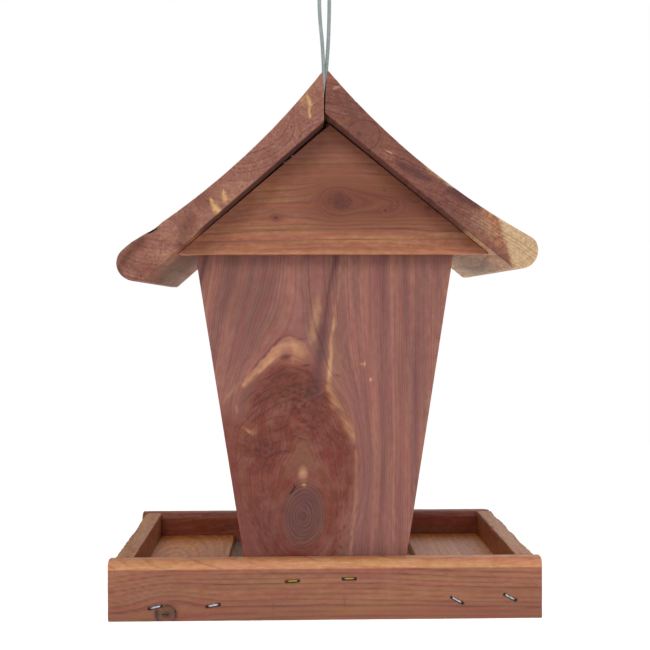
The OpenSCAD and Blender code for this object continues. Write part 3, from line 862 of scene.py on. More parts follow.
def end_front_grain(co):
    """Upright grain that parts round a big swelling with an oval knot near the foot."""
    place = co + (0, END_OUT, 0)
    x, y, z = place.T
    flat = columns(x, z)
    noise = Perlin(21)
    drift_x = noise.fbm(place / (17, 20, 24))
    drift_z = noise.fbm(place / (15, 20, 20) + 50)
    bent_x, bent_z = x + 2.4 * drift_x, z + 3.0 * drift_z

    # lines of flow outside the swelling, nested loops inside
    swell_x, swell_z = -13.0, 78.0
    swell_high = 62 - 13 * ramp(-22, 2, bent_x)
    share = (bent_x - swell_x) / np.where(bent_x < swell_x, 34.0, 30.0)
    radius = np.sqrt(share**2 + ((bent_z - swell_z) / swell_high) ** 2)
    flow = (x + 1.0 * drift_x - swell_x) * (1 - 1 / np.maximum(radius, 1) ** 2)
    rough = noise.fbm(place / (6, 6, 7) + 60, 2)
    knot = oval(flat + columns(0.9 * drift_x, 1.0 * drift_z), (-11.2, 51.6), (9.4, 14.0), -8)
    knot_at = flat + columns(2.4 * drift_x + 0.8 * rough, 2.8 * drift_z + 0.8 * rough)
    knot_ring = (oval(knot_at, (-11.4, 50.6), (9.2, 14.2), -9) * 0.6
                 + oval(knot_at, (-12.6, 53.0), (8.6, 13.0), -14) * 0.4)
    big = 25 * np.sqrt(radius**2 + 0.16) + 3.2
    small = 6.4 * knot + 8.5 * np.maximum(0, knot - 1.15) ** 1.4
    blend = 3.0
    inner = -blend * np.log(np.exp(-big / blend) + np.exp(-small / blend)) - 30
    # sharper arches over the reddish patches
    inner = inner - 3.0 * bell((bent_x + 15) / 11, (bent_z - 112) / 9)
    inner = inner + 3.0 * bell((bent_x + 28) / 11, (bent_z - 86) / 8)
    outside = ramp(0.93, 1.07, radius)
    # to the right the grain soon runs straight, only squeezed beside the swelling
    push = 12 * bell((z - 80) / 45)
    straight = x + 0.5 * drift_x - swell_x - 8 - push * np.exp(-np.maximum(0, x - 16) / 8)
    righted = ramp(1.04, 1.32, radius) * ramp(-8, 6, x)
    flow = flow * (1 - righted) + straight * righted
    ring = flow / 1.2 * outside + inner * (1 - outside) + 100
    across = flow * outside + 1.15 * inner * (1 - outside)
    swell = ramp(1.12, 0.8, radius)

    tear_x = noise.fbm(place / (6, 6, 9) + 3)
    tear_z = noise.fbm(place / (6, 6, 7) + 33)
    torn = flat + columns(tear_x * 1.3, tear_z * 1.5)
    far = flat + columns(4.5 * drift_x + 2.5 * tear_x, 4.5 * drift_z + 2.5 * tear_z)

    arch = strongest(
        stroke(torn, [(-41, 119.0), (-35.6, 125.4), (-28.1, 132.0), (-21.8, 137.6),
                      (-17.2, 139.0), (-12.4, 136.0)], [1.8, 2.6, 3.3, 4.2, 4.6, 4.6]) * 0.66,
        blob(torn, (-16.5, 133.0), (13.0, 9.0), -14, 0.0) * 0.42,
        stroke(torn, [(-36.5, 123.0), (-29.5, 129.4), (-24.0, 134.2)], [0.9, 1.4, 1.2],
               (0.2, 0.2)) * 0.85)
    cream = strongest(
        strokes(
            torn,
            ([(8.6, 186), (6.6, 165), (4.7, 150), (3.2, 140), (2.3, 126), (2.1, 116)],
             [1.1, 1.0, 1.1, 1.2, 1.4, 1.8],
             np.interp(z, [112, 128, 148, 165, 186], [0.6, 0.8, 0.7, 0.36, 0.34])
             * (0.85 + 0.5 * tear_z)),
            ([(2.1, 118), (6.2, 107.3), (11.2, 100.1), (14.3, 91.9), (16.1, 83.2)],
             [2.2, 3.0, 3.0, 2.2, 1.5], 0.54 * (0.85 + 0.7 * tear_x), (0.0, 0.3)),
            ([(16.1, 84), (16.4, 75.8), (15.4, 53.5), (13.0, 34.8), (12.4, 14)], 1.3, 0.34),
            ([(-2.6, 170), (-4.1, 157.8), (-6.0, 146), (-8.0, 136)], [2.0, 3.0, 2.8, 2.4],
             0.42, (0.3, 0.25)),
            ([(4.2, 186), (1.2, 170), (-1.6, 150)], 0.9, 0.25),
            ([(-53, 108), (-47.5, 116), (-43, 122)], [1.6, 2.0, 1.2], 0.3, (0.1, 0.3)),
            ([(-42.8, 97.0), (-37.9, 94.3), (-31.7, 97.6), (-26.7, 102.5), (-20.5, 107.4),
              (-13.6, 108.8)], [0.9, 1.4, 1.9, 2.4, 2.6, 2.4],
             np.interp(x, [-43, -38, -32, -13], [0.4, 0.62, 0.26, 0.18]) * (0.8 + 0.8 * tear_z)),
            ([(-45.6, 108.5), (-44.4, 103.5)], 1.0, 0.34, (0.2, 0.3))),
        arch * (0.85 + 0.55 * tear_x) * (1 - 0.35 * ramp(0.0, 0.4, tear_z)),
        blob(torn + columns(0.8 * tear_z, tear_x), (-11.2, 73.2), (3.3, 5.6), 0, 0.0) * 0.62,
        blob(torn, (-11.4, 67.2), (1.6, 1.2), 0, 0.2) * 0.7,
        blobs(flat,
              ((18.7, 129.2), (2.0, 0.7), 0, 0.2, 0.55),
              ((20.3, 129.3), (0.8, 1.6), 0, 0.3, 0.85),
              ((23.4, 121.3), (0.75, 1.3), 0, 0.3, 0.85),
              ((-16.4, 130.6), (0.7, 1.8), 8, 0.3, 0.5)),
        *(bell((knot_ring - at) / 0.03) * amount * (0.65 + 1.6 * tear_x) for at, amount in (
            (0.30, 0.20), (0.47, 0.26), (0.66, 0.22), (0.86, 0.18), (1.06, 0.26), (1.22, 0.12))),
        ramp(6.5, 0.5, half_width(z) - x) * 0.26 * (0.8 + 0.8 * tear_x))
    cream = cream * (1 - 0.85 * blob(flat, (-20.2, 132.8), (3.2, 1.6), 14, 0.5))

    purple = strongest(
        strokes(
            torn,
            ([(6.0, 187), (4.0, 176), (1.2, 165.2), (-0.6, 150), (-1.6, 138.0), (-3.6, 126),
              (-5.0, 112), (-4.6, 98)], [2.3, 2.3, 2.2, 2.3, 2.6, 3.0, 3.4, 2.8],
             np.interp(z, [95, 120, 140, 170, 187], [0.5, 0.8, 1.0, 0.85, 0.95]), (0.0, 0.2)),
            ([(-25, 182), (-33, 160), (-42, 140), (-51, 122)], [3.2, 3.6, 3.2, 2.4], 0.34,
             (0.2, 0.2)),
            ([(-44, 187), (-48, 170), (-54, 150)], [2.4, 2.6, 2.0], 0.36, (0.1, 0.2))),
        stroke(flat, [(-60.2, 187), (-61.4, 181), (-63.9, 170), (-66, 160)],
               [1.5, 1.4, 1.1, 0.8], (0, 0.2)) * 0.95,
        blob(torn, (-8.1, 59.9), (2.2, 1.9), 0, 0.1) * 0.85,
        ramp(1.35, 0.75, knot) * (0.7 + 0.4 * tear_x),
        blobs(far,
              ((-40, 112), (12, 12), 20, 0.0, 0.3),
              ((-32, 46), (13, 22), 0, 0.0, 0.3)))
    # upright bands on the right: place, width, strength
    for at, width, amount in ((39.5, 2.6, 0.5), (30.0, 2.2, 0.4), (47.5, 1.6, 0.28),
                              (22.5, 1.4, 0.3)):
        middle = at + 0.010 * (z - 110) + 1.2 * noise.line(z / 60, at)
        uneven = 0.85 + 0.5 * noise.line(z / 30, at + 9)
        purple = np.maximum(purple, bell((x - middle) / width) * amount * uneven)

    red = strongest(
        swell * (0.95 + 0.7 * tear_x),
        ramp(-20, -34, x - 0.25 * (z - 60)) * ramp(112, 96, z) * ramp(18, 40, z) * 0.8,
        blobs(far,
              ((-17.5, 117.0), (13, 8.0), 8, 0.05, 1.0),
              ((-9.0, 107.0), (9.5, 8.5), -30, 0.05, 0.95),
              ((-29.5, 80.0), (13, 10), 10, 0.05, 0.98),
              ((-40, 92), (9, 8), 0, 0.0, 0.75),
              ((6, 60), (9, 46), 4, 0.0, 0.55 + 0.5 * tear_x)),
        blob(torn, (-23.6, 44.1), (3.2, 8.0), 0, 0.1),
        stroke(torn, [(4, 76), (6.5, 60), (6.0, 44), (3.0, 28), (-1, 14)],
               [3.0, 3.6, 3.6, 3.2, 2.6], (0.2, 0.0)) * 0.75)
    red = (red * (1 - 0.8 * ramp(1.25, 0.9, knot))
           * (0.9 + 0.35 * noise.fbm(place / (9, 9, 5) + 60, 2)))
    grey = strongest(
        ramp(1.35, 0.9, knot) * 0.75,
        blob(torn, (-1, 152), (9, 30), 4, 0.0) * 0.45,
        blobs(far,
              ((-10.5, 78), (9, 12), 0, 0.0, 0.55),
              ((-44, 62), (11, 17), 0, 0.0, 0.35),
              ((-38, 162), (17, 34), 24, 0.0, 0.5),
              ((-18, 62), (11, 9), 20, 0.0, 0.75)))
    red = red * (1 - 0.6 * blob(far, (-10.5, 80), (10, 14), 0, 0.0))

    dark = strongest(
        strokes(
            torn,
            ([(-40.5, 122.8), (-33.5, 131.2), (-27.5, 137.8), (-22.8, 142.8), (-17.5, 144.4),
              (-13.5, 142.0), (-9, 142)], [0.3, 0.4, 0.5, 0.6, 0.6, 0.5, 0.4],
             0.62 + 0.6 * tear_z, (0.1, 0.1)),
            ([(-36, 119), (-27, 123.5), (-19, 128), (-14.7, 127.4), (-8, 124.6), (-2.6, 116)],
             0.5, 0.62, (0.1, 0.1)),
            ([(-31.7, 80.7), (-23.6, 84.2), (-15.6, 85.1)], 0.6, 0.8, (0.1, 0.15)),
            ([(-45, 99), (-37, 90.5), (-28, 88), (-21, 91)], 0.5, 0.55, (0.2, 0.2)),
            ([(9.6, 142), (11.6, 136), (13.6, 126), (16.4, 114), (19.2, 104)], 0.4, 0.5,
             (0.2, 0.3))),
        blobs(flat,
              ((-20.2, 132.8), (2.6, 1.2), 14, 0.2, 0.62),
              ((-9.9, 128.6), (3.2, 0.75), 2, 0.2, 0.7),
              ((6.4, 123.4), (1.9, 0.8), -15, 0.1, 0.6)),
        *(bell((knot_ring - at) / 0.04) * amount * (0.6 + 1.5 * tear_z) for at, amount in (
            (0.20, 0.5), (0.39, 0.3), (0.57, 0.34), (0.77, 0.26), (0.97, 0.42), (1.15, 0.22))))
    # broken arcs over the reddish heart: drop from the topmost, strength
    for drop, amount in ((0.0, 0.85), (-2.6, 0.7), (-5.0, 0.8), (-8.0, 0.85), (-10.4, 0.7),
                         (-13.5, 0.6), (-20, 0.5), (-27, 0.6), (-33, 0.5)):
        arc = 124.5 + drop - 0.020 * (x + 15) ** 2 + 2.2 * noise.line(x / 13, drop)
        gate = ramp(-0.25, 0.25, noise(columns(x / 7, drop + 40, z / 30)))
        dark = np.maximum(dark, bell((z - arc) / 0.55) * amount * gate * swell)
    # swirls left of the knot
    for k, (at, up) in enumerate([(-33, 60), (-30, 52), (-27.5, 44), (-36, 48), (-38, 58)]):
        swirl = [(at - 6, up + 6), (at, up - 2), (at + 5, up - 12), (at + 12, up - 22)]
        dark = np.maximum(dark, stroke(torn, swirl, 0.45, (0.2, 0.2)) * (0.3 + 0.05 * k))
    dashes = noise.fbm(place / (0.9, 3, 3.4) + 77, 2)
    specks = noise.fbm(place / (2.4, 2.4, 1.6) + 31, 2)
    rough_patch = blobs(far,
                        ((-14.5, 114.0), (19, 12), -22, 0.1, 1.0),
                        ((-31, 84), (15, 13), 0, 0.0, 0.8),
                        ((-7, 100), (8, 12), -28, 0.0, 0.85),
                        ((-12, 92), (16, 12), -20, 0.0, 0.5))
    smear = (blob(far, (-33, 88), (10, 7), -10, 0.0) + blob(far, (-29, 78), (9, 5), 20, 0.0)
             + blob(far, (-15, 117), (12, 5), -8, 0.0))
    dark = strongest(
        dark,
        ramp(0.05, 0.4, dashes) * stroke(flat, [(1, 100), (7.5, 84), (9.5, 62), (8.5, 40),
                                                (4.5, 16)], [3, 4.4, 5.2, 5.2, 5], (0.15, 0)) * 0.6,
        ramp(-0.04, 0.32, specks) * rough_patch * 0.98,
        smear * (0.28 + 0.5 * tear_z))
    crack = strokes(
        flat,
        ([(-18.4, 62.5), (-16.8, 64.0), (-16.0, 65.6), (-14.4, 66.5)], [0.25, 0.42, 0.34, 0.22], 1),
        ([(-15.6, 66.2), (-15.9, 67.8)], [0.3, 0.15], 1))
    return {"ring": ring, "fib": columns(across, y, z), "cream": cream, "purple": purple,
            "red": red, "grey": grey, "knot": dark, "crack": crack}


def end_rear_grain(co):
    out = plain_grain(co, along=2, pith=(22, 120), spacing=2.0, tilt=(0.10, 0.04), seed=33,
                      wander=2.2, knots=[(24.0, 138.0, 4.2, 6.4, 0.75),
                                         (-31.0, 62.0, 2.2, 3.0, 0.6)])
    torn = columns(co[:, 0] + 3 * Perlin(34).fbm(co / 40, 2), co[:, 2])
    out["cream"] = stroke(torn, [(-30, 200), (-22, 150), (-24, 90), (-20, 10)],
                          [2.5, 4, 3, 2]) * 0.6
    out["purple"] = stroke(torn, [(40, 200), (34, 150), (30, 100), (34, 40)], [3, 4, 3, 2]) * 0.6
    return out


def gable_grain(co, front):
    # height, place across, half height, half length, how hard the grain bends
    if front:
        place = co + (0, 75, 0)
        knots = [(211.8, 7.2, 5.0, 7.6, 0.9), (206.9, 30.2, 1.2, 1.3, 0.7),
                 (208.4, 51.9, 1.3, 1.6, 0.7), (217.4, 30.0, 0.8, 0.9, 0.5),
                 (203.4, -24.8, 1.1, 1.5, 0.7)]
    else:
        place = co * (-1, -1, 1) + (9, 75, 0)
        knots = [(201.0, -30.0, 3.6, 5.4, 0.85), (222.0, 14.0, 1.2, 1.6, 0.7)]
    x, y, z = place.T
    noise = Perlin(51 if front else 52)
    level = z + 2.2 * noise.fbm(place / (80, 20, 16)) + 0.0007 * (x - 10) ** 2
    tear = noise.fbm(place / (9, 9, 4) + 12)
    eyes = []
    for height, across, high, wide, bend in knots:
        offset = x - across + 0.8 * tear
        big = high > 2
        # the rings trail away to the right, as a teardrop
        tail = 1 + (1.7 * ramp(0, 30, offset) if big else 0.5 * ramp(0, 6, offset))
        rise = z - height + 0.5 * tear + (0.05 * offset if big else 0)
        radius = np.sqrt((offset / (wide * tail)) ** 2 + (rise / high) ** 2)
        near = bell(np.maximum(radius - 0.8, 0) / (1.1 if big else 2.4))
        level = height + (level - height) * (1 - bend * near)
        eyes.append((radius, big))
    ring = np.hypot(level - 300, y + 8) / 2.7
    red, dark = np.zeros(len(co)), np.zeros(len(co))
    for radius, big in eyes:
        inside = ramp(1.9, 1.3, radius) if big else ramp(1.5, 0.9, radius)
        ring = ring * (1 - inside) + (radius * (4.4 if big else 2.0) + 30) * inside
        if not big:
            red = np.maximum(red, ramp(3.2, 0.9, radius) * 0.7)
            dark = np.maximum(dark, ramp(0.8, 0.35, radius) * 0.95)
            continue
        height, across, high, wide, _ = knots[0]
        core = oval(columns(x + 1.6 * tear, z + 1.2 * tear), (across - 0.4, height - 0.2),
                    (wide, high * 1.2), -6)
        speck = noise.fbm(place / (1.6, 3, 1.6) + 8, 2)
        dark = strongest(dark,
                         ramp(1.12, 0.55, core) * (0.62 + 0.5 * speck),
                         bell((radius - 0.62) / 0.07) * 0.3,
                         bell((radius - 1.02) / 0.045) * 0.34,
                         ramp(0.34, 0.1, core) * 0.55)
        red = strongest(red, ramp(1.5, 0.6, radius) * 0.7, ramp(4.2, 0.8, radius) * 0.8)
    # a few strong dark lines: height, bend, width, strength
    for k, (height, bend, width, amount) in enumerate([
            (192.5, 0.0006, 0.30, 0.6), (197.4, 0.0008, 0.25, 0.45), (188.2, 0.0004, 0.22, 0.35),
            (226.5, -0.0016, 0.30, 0.45), (236.0, -0.002, 0.3, 0.35), (200.6, 0.0011, 0.22, 0.5)]):
        middle = height + bend * (x - 5) ** 2 + 0.5 * noise.line(x / 26, k * 3.1)
        uneven = 0.6 + 0.8 * noise.line(x / 30, k * 5.3)
        dark = np.maximum(dark, bell((level - middle) / width) * amount * uneven)
    above = z - GABLE_BASE
    # painted shade: purple deepens towards the apex, under the roof; the noise term is mottling
    purple = ramp(40, 3, 252 - z) * 0.6 + 0.3 * ramp(0.0, 0.5, noise.fbm(place / (40, 10, 12)))
    # painted highlight: a pale band along the lit bottom edge, then patchy paling over the lowest
    # 20 mm
    cream = strongest(
        ramp(3.6, 1.0, above + 0.8 * tear) * 0.5,
        ramp(20, 6, above) * (0.25 + 0.4 * noise.fbm(place / (60, 10, 4) + 70)))
    return {"ring": ring, "fib": columns(level, y, x), "red": red, "knot": np.clip(dark, 0, 1),
            "purple": purple, "cream": cream}


def long_rail_grain(co, front):
    noise = Perlin(61 if front else 62)
    place = (co if front else co * (-1, -1, 1)) + (0, LONG_RAIL_OUT, 0)
    x, y, z = place.T
    flat = columns(x, z)
    level = z + 0.9 * noise.fbm(place / (80, 16, 16))
    depth = y + 0.8 * noise.fbm(place / (80, 20, 20) + 7, 2)
    knot = (-80.7, 3.6) if front else (52.0, 12.0)
    near = bell((x - knot[0]) / 19, (z - knot[1]) / 13)
    level = knot[1] + (level - knot[1]) * (1 - 0.72 * near)
    # a wave along the length, laid over a shallow bow
    bow = (level + 1.6 * np.sin((x - 40) / 46.0) * ramp(0, 14, z)
           + 0.00030 * (x - 30) ** 2 * 0.5)
    ring = bow / (2.6 if front else 2.2) + 0.10 * depth
    in_top = ramp(25.9, 26.6, z + 0.25 * noise(place / (30, 1, 1)))
    if front:
        # long pointed arches in the pale band along the top
        arches = np.sqrt(np.abs(z - 31.5) * 1.4 + ((x - 52.0) / 24.0) ** 2 + 0.5) * 2.1
        arches = arches + 0.35 * noise.fbm(place / (30, 8, 5) + 9, 2)
        ring = ring * (1 - in_top) + (arches + 60) * in_top
    radius = oval(flat, knot, (5.6, 5.0) if front else (3.0, 2.6))
    inside = ramp(1.3, 0.8, radius)
    ring = ring * (1 - inside) + (radius * 3.4 + 30) * inside
    rim = 0.9 + 0.05 * noise(columns(*flat.T / 1.6, 0))
    dark = strongest(ramp(0.62, 0.2, radius) * 0.85,
                     bell((radius - rim) / 0.16) * (1.0 if front else 0.8),
                     ramp(1.05, 0.85, radius) * 0.45)
    dark = dark * (0.85 + 0.4 * noise(columns(*flat.T * 1.7 / 1.6, 0)))
    out = {"red": ramp(2.6, 0.8, radius) * 0.7}
    if front:
        dark = np.maximum(dark, blob(flat, (knot[0] - 4.4, knot[1] + 1.2), (1.8, 3.6), 0, 0.2)
                          * 0.95)
        out["crack"] = strokes(
            flat,
            ([(-82.6, 3.6), (-81.0, 4.0), (-79.4, 3.2)], 0.45, 0.9),
            ([(-77.2, 7.4), (-75.9, 5.4), (-75.6, 3.4)], 0.35, 0.8, (0.1, 0.2)))
        out["cream"] = in_top * 0.8
        # painted shade: the front face turns redder and darker towards its foot
        out["red"] = np.maximum(out["red"], ramp(18, 0, z) * 0.6)
    else:
        out["purple"] = ramp(26.6, 29.2, z) * 0.85
    out["grey"] = ramp(0.0, 0.5, noise.fbm(place / (60, 10, 5) + 3, 2)) * 0.4
    # the strongest dark lines, running the whole length: height, strength
    for k, (height, amount) in enumerate([
            (25.6, 0.6), (22.9, 0.45), (20.4, 0.3), (17.9, 0.5), (15.0, 0.36), (12.3, 0.5),
            (9.6, 0.36), (7.0, 0.48), (4.4, 0.36), (1.8, 0.4)]):
        middle = height + 0.5 * noise.line(x / 40, k * 3.3)
        width = 0.24 + 0.10 * noise.line(x / 50, k * 1.3)
        dark = np.maximum(dark, bell((bow - middle) / width) * amount * 0.95 * (1 - in_top)
                          * (0.7 + 0.6 * noise.line(x / 36, k * 7.7)))
    for at, up, amount in ((9.0, 10.0, 0.35), (-27.0, 9.0, 0.3)):
        mark = stroke(flat, [(at, up + 4), (at + 0.3, up - 5)], 0.5, (0.3, 0.3))
        dark = np.maximum(dark, mark * amount)
    return {"ring": ring, "fib": columns(bow, depth, x), "knot": np.clip(dark, 0, 1), **out}


def side_rail_grain(co, side):
    out = plain_grain(co * (side, 1, 1), along=1, pith=(60, -30) if side > 0 else (130, 70),
                      spacing=2.3, tilt=(0.03, 0.02), seed=71 + side, wander=1.4)
    noise = Perlin(77 + side)
    top = ramp(29.0, 30.6, co[:, 2])
    inner = ramp(99.2, 98.3, np.abs(co[:, 0]))
    out["cream"] = top * (0.8 + 0.4 * noise.fbm(co / (5, 24, 5)))
    out["knot"] = ramp(0.3, 0.6, noise.fbm(co / (2.0, 14.0, 2.4) + 11, 2)) * top * 0.3
    # painted light: the inner faces are turned redder, standing for warm bounce light inside the
    # tray
    out["red"] = inner * 0.8 * (1 - top)
    # painted light: the right rail's inner face is paled towards the front
    if side > 0:
        out["cream"] = np.maximum(out["cream"], inner * (1 - top) * ramp(40, -40, co[:, 1]) * 0.7)
    out["grey"] = 0.3 * ramp(0, 0.5, noise.fbm(co / (9, 40, 9) + 4, 2))
    return out


def floor_grain(co, side):
    noise = Perlin(84 + side)
    x, y, z = co.T
    dark = np.zeros(len(co))
    if side < 0:
        # nested arches either side of a line across the board, near its middle
        bent = x + 1.6 * noise.fbm(co / (24, 60, 20), 2)
        radius = np.sqrt((bent + 84) ** 2 + ((y + 10) * 0.26) ** 2 + 18)
        ring = radius / 3.1 + 0.02 * z
        for k, at in enumerate((10.0, 15.0, 19.6, 24.4, 29.0)):
            uneven = 0.8 + 0.7 * noise(columns(y / 24, x / 24, k * 4.0))
            dark = np.maximum(dark, bell((radius - at) / 0.4) * 0.5 * uneven)
    else:
        bent = x + 1.0 * noise.fbm(co / (20, 90, 20), 2)
        ring = bent / 2.4 + 0.05 * z
        for k, at in enumerate((56, 59.6, 63.4, 67.4, 71.2, 75.4, 79.8, 84.6, 89.6, 94)):
            uneven = 0.8 + 0.7 * noise.line(y / 30, k * 4.0)
            dark = np.maximum(dark, bell((bent - at - 0.01 * y) / 0.42) * 0.52 * uneven)
    return {"ring": ring, "fib": columns(bent, z, y), "knot": dark,
            "red": 0.4 * ramp(0.1, 0.6, noise.fbm(co / (14, 60, 14))),
            "cream": 0.45 * ramp(-0.1, 0.5, noise.fbm(co / (20, 90, 14) + 8, 2))}


def roof_underside(side, x, z):
    """1 on and under a roof board's underside, fading to 0 just above it."""
    roof = ROOF[side]
    return ramp(-0.9, -0.1, roof.z - side * (x - RIDGE_X) * tan(roof.pitch) - z)


def roof_left_grain(co):
    place = co + (0, ROOF_HALF_RUN, 0)
    x, y, z = place.T
    noise = Perlin(91)
    flat = columns(x, z)
    bent_x = x + 1.6 * noise.fbm(place / (20, 120, 20))
    bent_z = z + 1.6 * noise.fbm(place / (20, 120, 20) + 60)
    # rings: steep arcs in the middle, level lines near the ridge, wide arcs at the eave
    ring = np.hypot(bent_x + 43.0 - 0.05 * y, bent_z - 262.0 - 0.02 * y)
    slant = 48 + (bent_z - 262) * 0.86 - (bent_x + 10) * 0.5
    low = 62 + np.hypot(bent_x + 78, bent_z - 232)
    ring = ring + (slant - ring) * ramp(-19, -9, x)
    ring = ring + (low - ring) * ramp(-58, -78, x)
    tear_x = noise.fbm(place / (5, 30, 5))
    tear_z = noise.fbm(place / (5, 30, 5) + 22)
    torn = flat + columns(tear_x * 1.6, tear_z * 1.8)
    half_torn = flat + columns(tear_x * 0.7, tear_z * 0.8)
    cream = ramp(60, 6, y) * strongest(
        stroke(half_torn, [(-9.4, 262.8), (-8.8, 260.2), (-7.6, 257.6), (-8.2, 254.4),
                           (-7.6, 250.4)], [0.4, 0.8, 0.95, 0.6, 0.8], (0.05, 0.05)) * 0.95,
        strokes(
            torn,
            ([(-12.6, 259.4), (-9.6, 261.4)], 0.6, 0.55, (0.3, 0.1)),
            ([(-14.2, 256.2), (-9.2, 258.8)], 0.5, 0.4, (0.3, 0.1)),
            ([(-56.5, 213.5), (-55.6, 209.4), (-53.5, 206.0)], [0.6, 1.5, 2.0], 0.9, (0.1, 0.0)),
            ([(-50.6, 216.2), (-49.4, 212.2), (-49.6, 209.4)], [0.5, 1.5, 0.9], 0.9, (0.1, 0.1)),
            ([(-44, 216), (-40, 221)], 0.5, 0.45, (0.3, 0.3))),
        blob(torn, (-79.0, 193.6), (5.0, 4.0), 30, 0.0) * 0.18)
    purple = strongest(
        blobs(torn,
              ((-69.0, 197.2), (2.8, 3.6), 24, 0.0, 0.85),
              ((-71.4, 189.0), (3.2, 3.4), 20, 0.0, 0.9),
              ((-60, 212), (10, 8), 38, 0.0, 0.5)),
        strokes(
            torn,
            ([(-63, 207), (-68, 198), (-70.5, 188)], [4, 4, 3], 0.55, (0.2, 0.1)),
            ([(-100, 178), (-96.5, 185), (-92, 189.5), (-86, 193.5)], [2.6, 3.2, 3.4, 2.0],
             0.95, (0.1, 0.2)),
            ([(-101.5, 181), (-100, 173), (-95, 170.6), (-90, 170.4)], [1.6, 1.6, 1.2, 0.7],
             0.8, (0.1, 0.3))),
        ramp(0.1, 0.55, tear_x) * 0.4)
    red = strongest(
        blob(torn, (-88, 176), (10, 8), 30, 0.0) * 0.35
        + 0.3 * ramp(0.1, 0.6, noise.fbm(co / (18, 90, 18), 2)),
        stroke(flat, [(-102, 178), (-99, 172.5), (-94, 170.3), (-90, 170.3)], 0.7) * 0.6)
    crack = stroke(flat, [(-87.2, 194.6), (-84.6, 196.2), (-82.4, 198.4)], [0.5, 0.9, 0.5],
                   (0.1, 0.1)) * ramp(25, 6, y)
    under = roof_underside(-1, x, z)
    outer = ramp(-58, -66, x)
    # stipple towards the eave, a thin line under it, and painted shadow on the underside's inner
    # strip at the front end
    stipple = noise.fbm(place / (1.25, 3, 0.8), 2)
    dark = strongest(
        ramp(0.18, 0.5, stipple) * blob(flat, (-87, 179), (14, 9), 40, 0.1) * 0.8,
        stroke(torn, [(-88, 193), (-80, 190.4), (-73, 188.4), (-67, 190)], 0.35, (0.1, 0.2)) * 0.5,
        under * (1 - outer) * ramp(20, 17, y) * 0.85)
    # the underside: painted shadow in purple over its inner part, painted bounce light in pale
    # cream and grey over its outer part
    pale = under * ramp(0.0, 0.4, noise.fbm(place / (14, 90, 14), 2)) * 0.35 * outer
    return {"ring": ring / 2.1, "fib": columns(bent_x, bent_z, y),
            "cream": np.maximum(cream, pale),
            "purple": np.maximum(purple, under * (1 - outer) * 0.8), "red": red,
            "grey": under * ramp(1.0, 5.0, y) * 0.95 * outer, "crack": crack, "knot": dark}


def roof_right_grain(co):
    place = co + (0, ROOF_HALF_RUN, 0)
    x, y, z = place.T
    noise = Perlin(95)
    flat = columns(x, z)
    bent_x = x + 1.5 * noise.fbm(place / (22, 120, 22))
    bent_z = z + 1.5 * noise.fbm(place / (22, 120, 22) + 60)
    bent = columns(bent_x, bent_z)
    # ring knot near the ridge; the rest lies almost level, sinking to the eave
    radius = oval(bent, (18.6, 242.6), (8.2, 7.6), -35)
    core = oval(bent, (16.6, 243.0), (2.4, 2.2), -35)
    lines = (bent_z - 243) * 0.95 + (bent_x - 16) * 0.30 + 0.0022 * (bent_x - 16) ** 2
    inside = ramp(1.5, 1.02, radius)
    ring = (lines / 1.8 + 40) * (1 - inside) + (radius * 3.0 + 20) * inside
    ring = ring + 0.9 * bell(core / 1.5)
    tear_x = noise.fbm(place / (9, 40, 3.2))
    tear_z = noise.fbm(place / (9, 40, 3.2) + 44)
    torn = flat + columns(tear_x * 2.6, tear_z * 1.6)
    half_torn = flat + columns(tear_x * 0.6, tear_z * 0.5)
    edge = x + 0.30 * (z - 190) + 0.03 * y + 0.9 * tear_z
    sap = ramp(86.0, 90.5, edge)
    orange = bell((edge - 85.5) / 4.0) * ramp(178, 196, z) * 0.75
    cream = strongest(
        sap * 0.98,
        stroke(half_torn, [(3.2, 265.0), (5.2, 265.7), (7.4, 266.2)], [0.5, 0.8, 0.6],
               (0.1, 0.1)) * 0.6,
        stroke(flat, [(29.8, 234.9), (31.2, 234.2), (32.5, 233.3)], [0.25, 0.5, 0.3]) * 0.8,
        strokes(
            torn,
            ([(50.5, 226.2), (56, 222.6), (62, 218.6), (69, 215.0)], [0.8, 1.5, 1.8, 1.0],
             0.75, (0.2, 0.2)),
            ([(46, 229.0), (54, 224.0), (61, 219.6), (68, 216.8)], [0.8, 1.6, 1.8, 1.0],
             0.5, (0.2, 0.2)),
            ([(58, 223.2), (66, 219.2), (72, 216)], [0.7, 1.3, 0.8], 0.55, (0.2, 0.2))),
        blob(torn, (77, 199), (15, 8), -38, 0.0) * 0.34)
    purple = (1 - sap) * strongest(
        strokes(
            torn,
            ([(58, 217.4), (64, 214.4), (71, 210.6), (77, 206.6)], [1.8, 2.8, 3.0, 1.4],
             1.3, (0.2, 0.2)),
            ([(33, 231), (41, 226), (48, 222.4), (54, 219.6)], [1.6, 2.6, 2.2, 1.2],
             1.1, (0.2, 0.2)),
            ([(38, 220), (46, 214), (54, 209)], [1.2, 1.8, 1.2], 0.7, (0.2, 0.2))),
        blob(flat, (16.6, 243.0), (2.5, 2.2), -35, 0.1) * 0.9,
        ramp(1.25, 0.3, radius) * 0.45,
        ramp(0.0, 0.5, tear_x) * 0.6)
    stipple = noise.fbm(place / (1.5, 3, 0.9), 2)
    dark = (1 - sap) * strongest(
        bell((radius - 1.0) / 0.035) * 0.7,
        ramp(0.25, 0.55, stipple) * blob(flat, (40, 226), (42, 16), -38, 0.0) * 0.55)
    # the underside: painted light in grey-tan and cream towards the eave, purple further in
    under = roof_underside(1, x, z) * ramp(1.0, 5.0, y)
    purple = np.maximum(purple * (1 - under), under * 0.4 * ramp(74, 66, x))
    cream = np.maximum(cream * (1 - 0.6 * under), under * ramp(80, 95, x) * 0.35)
    return {"ring": ring, "fib": columns(bent_x, bent_z, y), "cream": cream, "purple": purple,
            "red": orange * 0.85, "grey": under * 0.95 * ramp(66, 74, x), "knot": dark}


# ------------------------------------------------------------------ placing

